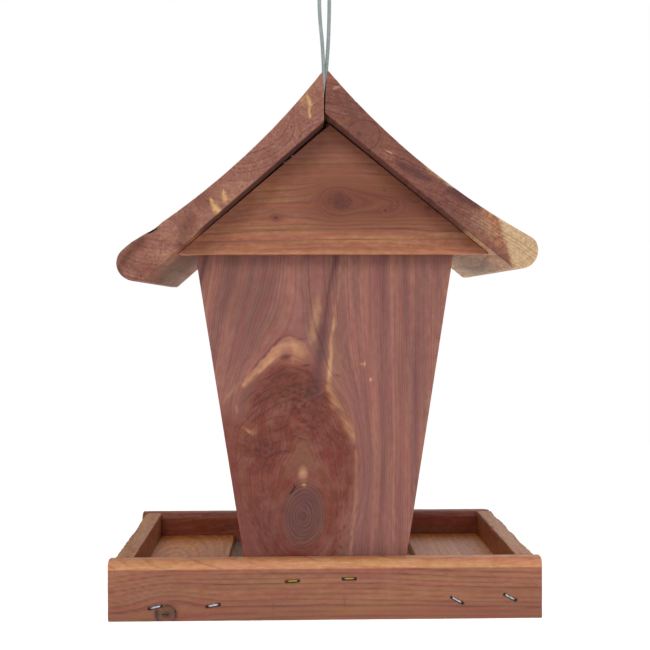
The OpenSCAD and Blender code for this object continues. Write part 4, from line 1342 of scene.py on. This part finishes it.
def run_along_y(points):
    """Profile across X and up Z, run along Y."""
    return points[:, [0, 2, 1]]


def run_along_x(points):
    """Profile across Y and up Z, run along X."""
    return points[:, [2, 0, 1]]


def mirrored(place, signs):
    return lambda points: place(points) * signs


def turn_about_y(angle):
    """Rotation matrix for an angle in degrees."""
    cosine, sine = cos(radians(angle)), sin(radians(angle))
    return np.array([[cosine, 0, sine], [0, 1, 0], [-sine, 0, cosine]])


QUARTER_TURN = np.array([[0, -1.0, 0], [1.0, 0, 0], [0, 0, 1.0]])  # about Z
MIRROR_X = np.diag([-1.0, 1.0, 1.0])
MIRROR_Y = np.diag([1.0, -1.0, 1.0])


def pocket_halves(deep):
    """Half sizes of a staple's pocket; its cutter stands 2 mm out of the face."""
    return POCKET_HALF_LENGTH, (deep + 2) / 2, POCKET_HALF_WIDTH


def pockets(stations, face, side, deep):
    """Shallow staple pockets in the face at y = side * face."""
    return [((x, side * (face - (deep - 2) / 2), z), turn_about_y(turn).T, pocket_halves(deep))
            for x, z, turn in stations]


def rectangle(low, high, bottom, top):
    return [(low, bottom), (high, bottom), (high, top), (low, top)]


FOUR_CORNERS = [0, 1, 2, 3]


# ------------------------------------------------------------------ tray

def long_rail(side):
    front = side < 0
    name = "front_rail" if front else "rear_rail"
    board(name, "tray_" + name, RAIL_CEDAR if front else REAR_CEDAR,
          partial(long_rail_grain, front=front),
          rectangle(-LONG_RAIL_OUT, -LONG_RAIL_IN, 0, RAIL_HEIGHT),
          [0.8, 0.5, 1.5, 4.0] if front else [0.8, 0.5, 4.0, 1.5], FOUR_CORNERS,
          run=(-110, 110 if front else 106.5), steps=(0.75, 0.9, 0.9),
          place=mirrored(run_along_x, (1, -side, 1)), end_round=0.7, chip=(0.5, 2.0, 0.3, 1.0),
          cuts=pockets(FLOOR_STAPLES + FOOT_STAPLES, LONG_RAIL_OUT, side, 0.9),
          seed=12 if front else 11,
          dents=() if front else [((106.5, LONG_RAIL_OUT, RAIL_HEIGHT), (1.6, 3.0, 1.6), 1.0)])


SIDE_RAIL_DENTS = {
    -1: [((-101.5, -50, 31.4), (2.6, 4.0, 2.2), 1.3), ((-105, -40, 31.4), (1.8, 2.6, 1.6), 1.0),
         ((-107.6, 12, 31), (1.4, 16, 1.6), 0.8)],
    1: [((107.6, 50, 31), (1.6, 10, 2.0), 1.3), ((106.5, 4, 31.3), (2.2, 7, 1.6), 1.2),
        ((107.6, -30, 31), (1.5, 12, 1.8), 1.0), ((104, -46, 31.4), (2.0, 4, 1.3), 0.9)],
}
SIDE_NAME = {-1: "left", 1: "right"}


def side_rail(side):
    mirror = (side, 1, 1)
    deep = 0.9
    cuts = [(np.array([SIDE_RAIL_OUT - (deep - 2) / 2, y, z]) * mirror,
             (QUARTER_TURN @ turn_about_y(turn)).T * mirror, pocket_halves(deep))
            for y, z, turn in SIDE_STAPLES]
    board("side_rail_" + SIDE_NAME[side], f"tray_{SIDE_NAME[side]}_rail",
          SIDE_CEDAR, partial(side_rail_grain, side=side),
          rectangle(SIDE_RAIL_IN, SIDE_RAIL_OUT, 0, RAIL_HEIGHT), [0.6, 0.6, 1.0, 0.8],
          FOUR_CORNERS, run=(-LONG_RAIL_IN, LONG_RAIL_IN), steps=(0.8, 0.9, 0.9),
          place=mirrored(run_along_y, mirror), end_round=0.4, chip=(0.8, 5.0, 0.1, 1.4),
          cuts=cuts, seed=14 + side, dents=SIDE_RAIL_DENTS[side])


def floor_board(side):
    """Floor board, with the kerf that holds the screen."""
    kerf = ((side * 54.0, 0, SCREEN_Z), np.eye(3), (2.1, 67, 0.5))
    board("floor_" + SIDE_NAME[side], "floor_board_" + SIDE_NAME[side],
          FLOOR_CEDAR, partial(floor_grain, side=side), rectangle(53, SIDE_RAIL_IN, 6, 17),
          [0.5, 0.4, 0.4, 0.7], FOUR_CORNERS, run=(-65.45, 65.45), steps=(0.9, 1.1, 0.9),
          place=mirrored(run_along_y, (side, 1, 1)), end_round=0.3, chip=(0.4, 3.0, 0.3, 1.0),
          cuts=[kerf], seed=17 + side)


for build in (long_rail, side_rail, floor_board):
    for side in (-1, 1) if build is not long_rail else (-1, 1):
        build(side)

# ------------------------------------------------------------------ end boards and gables

def under_roof(side):
    """Height at the ridge of the line that clears the roof's underside."""
    return ROOF[side].z - ROOF_GAP / cos(ROOF[side].pitch)


def end_shoulder(side):
    """Where the slanting shoulder meets the tapered edge, and where it meets the flat top."""
    slope = tan(ROOF[side].pitch)
    ridge = RIDGE_X * side
    z = (ridge + under_roof(side) / slope - half_width(0)) / (END_TAPER + 1 / slope)
    top_x = ridge + (under_roof(side) - END_TOP) / slope
    return (side * half_width(z), z), (side * top_x, END_TOP)


def window_kerf(side, end):
    """Groove for one edge of a window pane, on the inner face of the board at that end."""
    bottom = 26.9
    half = (226 - bottom) / cos(END_TAPER_ANGLE) / 2
    up = np.array([sin(END_TAPER_ANGLE) * side, 0, cos(END_TAPER_ANGLE)])
    out = np.array([cos(END_TAPER_ANGLE) * side, 0, -sin(END_TAPER_ANGLE)])
    foot = np.array([side * (half_width(bottom) - WINDOW_INSET), 0, bottom])
    middle = foot + up * half + (0, end * 53.5, 0)
    return middle, [out, (0, 1, 0), up], (1.2, 5.0, half)


def end_board(end):
    front = end < 0
    (left_edge, left_top), (right_edge, right_top) = end_shoulder(-1), end_shoulder(1)
    foot = half_width(END_FOOT)
    profile = [(-foot, END_FOOT), (foot, END_FOOT), right_edge, right_top, left_top, left_edge]
    board("end_board_f" if front else "end_board_r",
          "end_board_front" if front else "end_board_rear", END_CEDAR,
          end_front_grain if front else end_rear_grain, profile,
          [0.5, 0.5, 0.6, 0.5, 0.5, 0.6], [0, 1, 3, 4], run=(-END_OUT, -END_IN),
          steps=(0.74, 1.1, 0.74), place=mirrored(run_along_y, (1, -end, 1)), end_round=0.45,
          chip=(0.5, 2.4, 0.3, 0.9), wobble=0.05, seed=23 if front else 24,
          cuts=[window_kerf(side, end) for side in (-1, 1)]
          + pockets(BAR_STAPLES, END_OUT, end, 1.25))


def gable(end):
    """A triangle whose slopes are a little shallower than the roof's."""
    front = end < 0
    left, right = (RIDGE_X + side * (under_roof(side) - GABLE_BASE) / tan(ROOF[side].pitch)
                   for side in (-1, 1))
    left_slope = tan(ROOF[-1].pitch - radians(0.6))
    right_slope = tan(ROOF[1].pitch - radians(0.3))
    rise = (right - left) * left_slope * right_slope / (left_slope + right_slope)
    profile = [(left, GABLE_BASE), ((left + right) / 2, GABLE_BASE), (right, GABLE_BASE),
               (left + rise / left_slope, GABLE_BASE + rise)]
    board("gable_f" if front else "gable_r", "gable_front" if front else "gable_rear",
          GABLE_CEDAR, partial(gable_grain, front=front), profile,
          [0.35, 0, 0.35, 0.35], FOUR_CORNERS, run=(-75.0, -65.8), steps=(0.72, 1.0, 0.72),
          place=mirrored(run_along_y, (1, -end, 1)), end_round=0.35, chip=(0.5, 2.4, 0.3, 0.8),
          body="roof", wobble=0.04, seed=27 if front else 28, sharp_corners=[0, 2, 3])


for build in (end_board, gable):
    for end in (-1, 1):
        build(end)

# ------------------------------------------------------------------ roof

def scoop(down, thick):
    """Thickness of a roof board at a distance down the slope: its top is hollowed."""
    return thick + SCOOP_RADIUS - np.sqrt(SCOOP_RADIUS**2 - (down - SCOOP_START) ** 2)


def roof_spots(side, lift):
    """Staple places on a roof board, raised by lift: centre, crown, outward and cross axes."""
    roof = ROOF[side]
    slope = np.array([cos(roof.pitch), 0, -sin(roof.pitch)])
    outward = np.array([sin(roof.pitch), 0, cos(roof.pitch)])
    ridge_way = np.array([0, 1.0, 0])
    mirror = np.array([side, 1, 1])
    for down, turn in ROOF_STAPLES:
        for end in (-1, 1):
            cosine, sine = cos(radians(turn * end)), sin(radians(turn * end))
            crown = slope * cosine + ridge_way * sine
            cross = -slope * sine + ridge_way * cosine
            centre = (np.array([0, end * ROOF_STAPLE_Y, roof.z]) + slope * down
                      + outward * (float(scoop(down, roof.thick)) + lift))
            yield (centre * mirror + (RIDGE_X, 0, 0), crown * mirror, outward * mirror,
                   cross * mirror)


ROOF_DENTS = {
    -1: [((-84.8, -92, 197.2), (3.4, 7.0, 2.6), 1.5), ((-60, 92, 216), (3.0, 6.0, 2.4), 1.0)],
    1: [((60, 40, 220), (4.0, 9.0, 2.0), 0.5)],
}


def roof_board(side):
    roof = ROOF[side]
    cosine, sine = cos(roof.pitch), sin(roof.pitch)

    def down_slope(x, z):
        return x * cosine - (z - roof.z) * sine

    inner_low = down_slope(roof.inner_x, roof.z - roof.inner_x * tan(roof.pitch))
    inner_top = down_slope(roof.inner_x + 0.9, RIDGE_TOP - 0.1)
    # a level flat under the eave, then the lower and the upper rounding
    flat_end = roof.length - roof.lower + roof.lower * sine
    flat_rise = EAVE_THICK - roof.upper - roof.lower * cosine
    flat_start = flat_end - flat_rise / tan(roof.pitch)
    profile = [(inner_low, 0.0), (flat_start, 0.0),
               (roof.length, (roof.length - flat_start) * tan(roof.pitch)),
               (roof.length, EAVE_THICK), (inner_top, EAVE_THICK)]

    def warp(points):
        out = points.copy()
        top = scoop(points[:, 0], roof.thick)
        top = np.where(points[:, 0] > SCOOP_START, np.minimum(top, EAVE_THICK), top)
        out[:, 1] = points[:, 1] * top / EAVE_THICK
        return out

    def place(points):
        """Down the slope, flattened at the top and kept clear of the ridge line."""
        down, up, run = points.T
        x = down * cosine + up * sine
        z = roof.z - down * sine + up * cosine
        z = np.minimum(z, RIDGE_TOP + 0.03 * np.maximum(z - RIDGE_TOP, 0))
        x = np.maximum(x, roof.inner_x + roof.ridge_gap * np.maximum(z - RIDGE_TOP + 5, 0) / 7)
        return columns(side * x + RIDGE_X, run, z)

    board("roof_board_" + SIDE_NAME[side], "roof_panel_" + SIDE_NAME[side],
          ROOF_LEFT_CEDAR if side < 0 else ROOF_RIGHT_CEDAR,
          roof_left_grain if side < 0 else roof_right_grain, profile,
          [0.4, 0.3, roof.lower, roof.upper, 0.35], [0, 2, 3, 4],
          run=(-ROOF_HALF_RUN, ROOF_HALF_RUN), steps=(0.8, 1.15, 0.8), place=place,
          end_round=0.4, chip=(0.32, 1.6, 0.22, 0.8), body="roof", warp=warp,
          cuts=[(centre, axes, (POCKET_HALF_LENGTH, 1.6, POCKET_HALF_WIDTH))
                for centre, *axes in roof_spots(side, lift=0.4)],
          bores=[(0.0, 0.0, 235.0, 290.0, 6.35)], wobble=0.08, seed=31 + side,
          sharp_corners=[0, 1, 4], dents=ROOF_DENTS[side])


roof_board(-1)
roof_board(1)

# ------------------------------------------------------------------ crossbar

board("crossbar", "hanger_crossbar", FLOOR_CEDAR,
      partial(plain_grain, along=1, pith=(14, 160), spacing=2.0, tilt=(0.02, 0.0), seed=101,
              wander=1.2),
      rectangle(-9.5, 9.5, 176, 195), [0.8] * 4, FOUR_CORNERS, run=(-END_IN, END_IN),
      steps=(1.2, 1.5, 1.2), place=run_along_y, end_round=0.3, chip=(0.4, 3, 0.3, 1.0), seed=41,
      bores=[(0.0, 0.0, 170.0, 200.0, 3.5)])


# ------------------------------------------------------------------ sweeps

def directions(path):
    """Unit tangents of a path, unit vectors along it."""
    tangent = np.gradient(path, axis=0)
    return tangent / np.linalg.norm(tangent, axis=1)[:, None]


def frames(path):
    """Two cross axes along a path, carried on without twist from one near +Y."""
    tangent = directions(path)
    normal = np.zeros_like(path)
    for i, way in enumerate(tangent):
        before = normal[i - 1] if i else np.array([0, 1.0, 0])
        across = before - way * (before @ way)
        normal[i] = across / np.linalg.norm(across)
    return normal, np.cross(tangent, normal)


def skin(rings):
    """Rings (rows, points, 3) to vertices and faces, both ends closed."""
    index, quads = ring_quads(*rings.shape[:2])
    return rings.reshape(-1, 3), quads.tolist() + [list(index[0][::-1]), list(index[-1])]


def merge(parts):
    points, faces, base = [], [], 0
    for part_points, part_faces in parts:
        points.append(part_points)
        faces += [[i + base for i in face] for face in part_faces]
        base += len(part_points)
    return np.concatenate(points), faces


def catmull(points, per=10):
    """Smooth curve through points, per steps between neighbours."""
    points = np.asarray(points, float)
    padded = np.vstack([2 * points[0] - points[1], points, 2 * points[-1] - points[-2]])
    out = []
    for i in range(1, len(padded) - 2):
        p0, p1, p2, p3 = padded[i - 1 : i + 3]
        for t in np.linspace(0, 1, per, endpoint=False):
            out.append(0.5 * ((2 * p1) + (p2 - p0) * t + (2 * p0 - 5 * p1 + 4 * p2 - p3) * t * t
                              + (3 * p1 - p0 - 3 * p2 + p3) * t**3))
    out.append(padded[-2])
    return np.array(out)


# ------------------------------------------------------------------ staples

STAPLE_WIRE, STAPLE_CROWN, STAPLE_BEND = 1.1, 6.3, 0.9
STAPLE_SINK = 0.15  # crown's middle below a tray rail's face


def staple_mesh(leg):
    """Crown along X, legs towards +Y, bent wire of a flattened section."""
    half = STAPLE_CROWN / 2 - STAPLE_WIRE / 2
    bend_y = STAPLE_BEND + STAPLE_WIRE / 2
    path = [(-half, leg, 0), (-half, leg * 0.6, 0), (-half, bend_y, 0)]
    for middle, angles in ((STAPLE_BEND - half, [180, 155, 130, 110, 90]),
                           (half - STAPLE_BEND, [90, 70, 50, 25, 0])):
        path += [(middle + STAPLE_BEND * cos(a), bend_y - STAPLE_BEND * sin(a), 0)
                 for a in np.radians(angles)]
    path = np.array(path + [(half, leg * 0.6, 0), (half, leg, 0)])
    upward = np.array([0, 0, 1.0])
    normals = np.cross(upward, directions(path))
    rings = []
    for k, (point, normal) in enumerate(zip(path, normals)):
        width = 0.25 if k in (0, len(path) - 1) else 1.0
        ring = []
        for a in np.linspace(0, 2 * pi, 12, endpoint=False):
            across, up = (copysign(abs(share) ** 0.62, share) for share in (cos(a), sin(a)))
            ring.append(point + normal * (STAPLE_WIRE * 0.42 * width * across)
                        + upward * (STAPLE_WIRE * 0.5 * up))
        rings.append(ring)
    return skin(np.array(rings))


def staples(name, node, material, items, body="hopper"):
    """items: leg length, matrix, place."""
    parts = []
    for leg, matrix, place in items:
        points, faces = staple_mesh(leg)
        if np.linalg.det(matrix) < 0:
            faces = [face[::-1] for face in faces]
        parts.append((points @ matrix.T + np.asarray(place), faces))
    finish(new_object(name, *merge(parts)), material, body, node)


def front_and_rear(stations, depth, leg):
    items = []
    for x, z, turn in stations:
        matrix = turn_about_y(turn)
        items.append((leg, matrix, (x, -depth, z)))
        items.append((leg, MIRROR_Y @ matrix, (x, depth, z)))
    return items


def left_and_right(stations, depth, leg):
    items = []
    for y, z, turn in stations:
        matrix = QUARTER_TURN @ turn_about_y(turn)
        items.append((leg, matrix, (depth, y, z)))
        items.append((leg, MIRROR_X @ matrix, (-depth, y, z)))
    return items


staples("steel_staples_floor", "staples_floor", STEEL,
        front_and_rear(FLOOR_STAPLES, LONG_RAIL_OUT - STAPLE_SINK, leg=15))
staples("brass_staples_foot", "staples_end_boards", BRASS,
        front_and_rear(FOOT_STAPLES, LONG_RAIL_OUT - STAPLE_SINK, leg=15))
staples("steel_staples_bar", "staples_crossbar", STEEL,
        front_and_rear(BAR_STAPLES, END_OUT - 0.1, leg=20))
staples("steel_staples_side", "staples_side_rails", STEEL,
        left_and_right(SIDE_STAPLES, SIDE_RAIL_OUT - STAPLE_SINK, leg=15))
staples("steel_staples_roof", "staples_roof", STEEL,
        [(25, columns(crown, -outward, cross), centre) for side in (-1, 1)
         for centre, crown, outward, cross in roof_spots(side, lift=-0.05)], body="roof")


# ------------------------------------------------------------------ windows

def window(side):
    """A pane that leans with the end boards' edges."""
    bottom, top = 27.0, 183.0
    cosine, sine = cos(END_TAPER_ANGLE), sin(END_TAPER_ANGLE)

    def place(points):
        out, up, run = points.T
        x = half_width(bottom) - WINDOW_INSET + out * cosine + up * sine
        return columns(side * x, run, bottom - out * sine + up * cosine)

    node = "window_" + SIDE_NAME[side]
    board("pane_" + SIDE_NAME[side], node, CLEAR,
          lambda co: {"ring": np.zeros(len(co)), "fib": co},
          rectangle(-1.0, 1.0, 0, (top - bottom) / cosine), [0.25] * 4, FOUR_CORNERS,
          run=(-58.3, 58.3), steps=(1.0, 6.0, 4.0), place=place, end_round=0.25,
          chip=(0.0, 2, 0.5, 1), body=node, wobble=0.0)


window(-1)
window(1)


# ------------------------------------------------------------------ drain screen

def weave(name, along_x, node=None):
    """One set of the screen's woven wires, square in section."""
    pitch, radius, swing = 1.9, 0.24, 0.27
    half_x, half_y = 55.8, 65.2
    half_run, half_cross = (half_x, half_y) if along_x else (half_y, half_x)
    count = int(2 * half_cross / pitch)
    run_count = int(2 * half_run / pitch)
    span = run_count * pitch / 2
    along = np.linspace(-span, span, run_count * 3 + 1)
    noise = Perlin(120 + along_x)
    sign = 1 if along_x else -1
    parts = []
    for k in range(count):
        at = -(count - 1) * pitch / 2 + k * pitch
        aside = at + noise.line(along / 16, k * 0.7) * 0.16
        height = SCREEN_Z + swing * np.cos(pi * (along / pitch) + pi * (k % 2)) * sign
        sag = np.clip(0.25 * noise(columns(along / 22, at / 22, 3)), -0.3, 0.3)
        slope = np.gradient(height, along)
        ring = []
        for a in np.radians([45, 135, 225, 315]):
            out, up = radius * cos(a), radius * sin(a)
            run, cross = along - up * slope, aside + out
            x, y = (run, cross) if along_x else (cross, run)
            ring.append(columns(x, y, height + sag + up))
        parts.append(skin(np.stack(ring, 1)))
    finish(new_object(name, *merge(parts)), WIRE, "hopper", node, angle=80)


weave("screen_warp", True, "drain_screen")
weave("screen_weft", False)

# ------------------------------------------------------------------ cord

EYE_TOP, CORD_THICK, EYE_HALF = 430.0, 2.5, 9.75
EYE_Z = EYE_TOP - CORD_THICK - EYE_HALF
EYE_RADIUS = EYE_HALF + CORD_THICK / 2  # to the cord's middle
TOUCHING = CORD_THICK / 2 + 0.05  # half the gap between the middles of two strands side by side
STRAND_HEIGHTS = [186, 200, 216, 232, 248, 262, 272, 279, 290, 306, 320, 333, 350, 368, 384, 391,
                  397, 403, 409, EYE_Z - 3]


def lean(z):
    return 1.8 * ramp(254.2, 314.2, z)


def knot_path(side):
    """From the tail, through an overhand knot under the crossbar, up to the strand on a side."""
    off = 0.95 * side
    return [
        (0.8 + off, 0.4, 155.5), (0.5 + off, 0.2, 160.0), (0.2 + off, -0.2, 164.6),
        (-1.2, -1.0 + off, 168.0), (-3.6, 0.2, 170.6 + off * 0.6), (-1.6, 3.4, 172.6 + off * 0.5),
        (2.2, 2.8, 171.6 + off * 0.5), (3.6, -0.6, 169.6 + off * 0.6),
        (1.2, -3.6, 168.4 + off * 0.6), (-2.4, -2.6, 169.6 + off * 0.6),
        (-2.2, 0.6, 171.8 + off * 0.3), (0.4 + off * 0.6, 0.8, 173.4), (off * 1.2, 0.1, 175.6),
        (1.3 * side, 0, 178.5)]


def strand(z, side, wave):
    """Middle of a strand at height z. The two turn about each other near the ridge,
    lie side by side up to there, then part towards the eye."""
    apart = np.interp(z, [RIDGE_TOP, 333, 386], [TOUCHING, 2.85, 3.0])
    apart = apart + (EYE_RADIUS - 3.0) * ramp(386, EYE_Z, z)
    apart = TOUCHING + (apart - TOUCHING) * ramp(290, 320, z)
    turn = radians(62) * bell((z - 284) / 22)
    middle = lean(z) + 0.9 * bell((z - 292) / 22)
    return middle + side * apart * cos(turn), side * apart * sin(turn) + wave, z


left_up = knot_path(-1) + [strand(z, -1, 0.12 * sin(z / 19)) for z in STRAND_HEIGHTS]
right_up = knot_path(1) + [strand(z, 1, -0.12 * sin(z / 17)) for z in STRAND_HEIGHTS]
eye = [(lean(EYE_Z) + EYE_RADIUS * cos(a), 0, EYE_Z + EYE_RADIUS * sin(a))
       for a in np.radians(range(170, 5, -20))]
curve = catmull(left_up + eye + right_up[::-1])
cord_line, _ = resample(curve, int(ceil(resample(curve, 4)[1] / 0.36)))


def braid(path):
    """Flat yarns wound both ways round the path, over and under each other; also their y_uv."""
    middle, swing, pitch = 0.72, 0.17, 9.0
    half_wide, half_thick = 0.50, 0.25
    carriers, sides = 8, 6
    normal, binormal = frames(path)
    length = path_lengths(path)
    rate = 2 * pi / pitch
    parts, places = [], []
    for k in range(carriers):
        way = 1 if k % 2 == 0 else -1
        angle = way * rate * length + 2 * pi * (k // 2) / (carriers // 2)
        radius = middle + way * swing * np.cos(carriers / 2 * rate * length)
        out = np.cos(angle)[:, None] * normal + np.sin(angle)[:, None] * binormal
        centre = path + radius[:, None] * out
        flat = np.cross(directions(centre), out)
        rings = np.stack([centre + flat * (half_wide * cos(a)) + out * (half_thick * sin(a))
                          for a in np.linspace(0, 2 * pi, sides, endpoint=False)], 1)
        parts.append(skin(rings))
        turn = np.tile(np.linspace(0, 1, sides, endpoint=False), (len(path), 1))
        share = np.linalg.norm(rings - path[:, None], axis=2) / (middle + swing + half_thick)
        along = np.tile(length[:, None], (1, sides))
        places.append(np.stack([turn + k, along, share], -1).reshape(-1, 3))
    return *merge(parts), np.concatenate(places)


def cord_piece(name, points, faces, places, node=None):
    made = new_object(name, points, faces)
    add_attribute(made.data, "y_uv", "FLOAT_VECTOR", places)
    finish(made, CORD, "hopper", node, angle=80)


cord_piece("cord_braid", *braid(cord_line), "hanging_cord")

# the braid's core, which closes the gaps between its yarns
core_line = cord_line[::3]
core_normal, core_binormal = frames(core_line)
core_points, core_faces = skin(np.stack(
    [core_line + 0.62 * (cos(a) * core_normal + sin(a) * core_binormal)
     for a in np.linspace(0, 2 * pi, 8, endpoint=False)], 1))
# its y_uv share of 0.4 gives the core the painted crevice shade
cord_piece("cord_core", core_points, core_faces,
           columns(core_points[:, 0], core_points[:, 2], 0.4))

# ------------------------------------------------------------------ stage, light, camera (metres)

scene = bpy.context.scene


def stage_floor(half=6.0, z=-0.62):
    mesh = bpy.data.meshes.new("floor")
    mesh.from_pydata([(-half, -half, z), (half, -half, z), (half, half, z), (-half, half, z)],
                     [], [(0, 1, 2, 3)])
    floor = bpy.data.objects.new("floor", mesh)
    scene.collection.objects.link(floor)
    net = Net("pale_floor")
    cloud = net.noise(net.coords(), scale=1.2, detail=3, rough=0.5)
    shade, light = (0.86, 0.86, 0.86, 1), (0.9, 0.9, 0.895, 1)
    mesh.materials.append(net.finish(
        Base_Color=net.mix(cloud.smooth(0.3, 0.7, to=(0.0, 0.5)), shade, light),
        Roughness=0.9, Emission_Color=(1, 1, 1, 1), Emission_Strength=0.55))


def studio_world():
    """White to the camera, a softer warm white to everything else."""
    world = bpy.data.worlds.new("studio") if scene.world is None else scene.world
    scene.world = world
    world.use_nodes = True
    nodes, links = world.node_tree.nodes, world.node_tree.links
    nodes.clear()
    output = nodes.new("ShaderNodeOutputWorld")
    mixer = nodes.new("ShaderNodeMixShader")
    rays = nodes.new("ShaderNodeLightPath")
    links.new(rays.outputs["Is Camera Ray"], mixer.inputs[0])
    for k, colour, strength in ((1, (1.0, 0.99, 0.98, 1), 0.62), (2, (1, 1, 1, 1), 1.0)):
        background = nodes.new("ShaderNodeBackground")
        background.inputs[0].default_value = colour
        background.inputs[1].default_value = strength
        links.new(background.outputs[0], mixer.inputs[k])
    links.new(mixer.outputs[0], output.inputs[0])


def area(name, place, target, size, power, colour=(1, 1, 1)):
    light = bpy.data.lights.new(name, "AREA")
    light.shape = "RECTANGLE"
    light.size, light.size_y = size
    light.energy = power
    light.color = colour
    made = bpy.data.objects.new(name, light)
    scene.collection.objects.link(made)
    made.location = place
    made.rotation_euler = (Vector(target) - Vector(place)).to_track_quat("-Z", "Y").to_euler()


def camera():
    data = bpy.data.cameras.new("cam")
    data.sensor_width = 36.0
    data.lens = 66.793846
    data.clip_start, data.clip_end = 0.02, 20
    made = bpy.data.objects.new("cam", data)
    scene.collection.objects.link(made)
    made.location = (-0.0163, -0.6825, 0.1588)
    yaw, pitch, roll = radians(1.52), radians(-0.88), radians(-0.14)
    aim = Vector((sin(yaw) * cos(pitch), cos(yaw) * cos(pitch), sin(pitch)))
    turn = aim.to_track_quat("-Z", "Y") @ Quaternion((0, 0, 1), roll)
    made.rotation_euler = turn.to_euler()
    scene.camera = made


stage_floor()
studio_world()
area("key", place=(-0.35, -1.35, 1.05), target=(0, 0, 0.13), size=(0.9, 0.6), power=13.0,
     colour=(1.0, 0.985, 0.96))
area("fill", place=(0.75, -1.35, 0.35), target=(0, 0, 0.13), size=(0.9, 0.9), power=5.0,
     colour=(0.985, 0.99, 1.0))
area("back", place=(0.3, 1.3, 0.9), target=(0, 0, 0.15), size=(0.9, 0.9), power=6.0)
camera()
scene.view_settings.view_transform = "Standard"
scene.view_settings.look = "None"
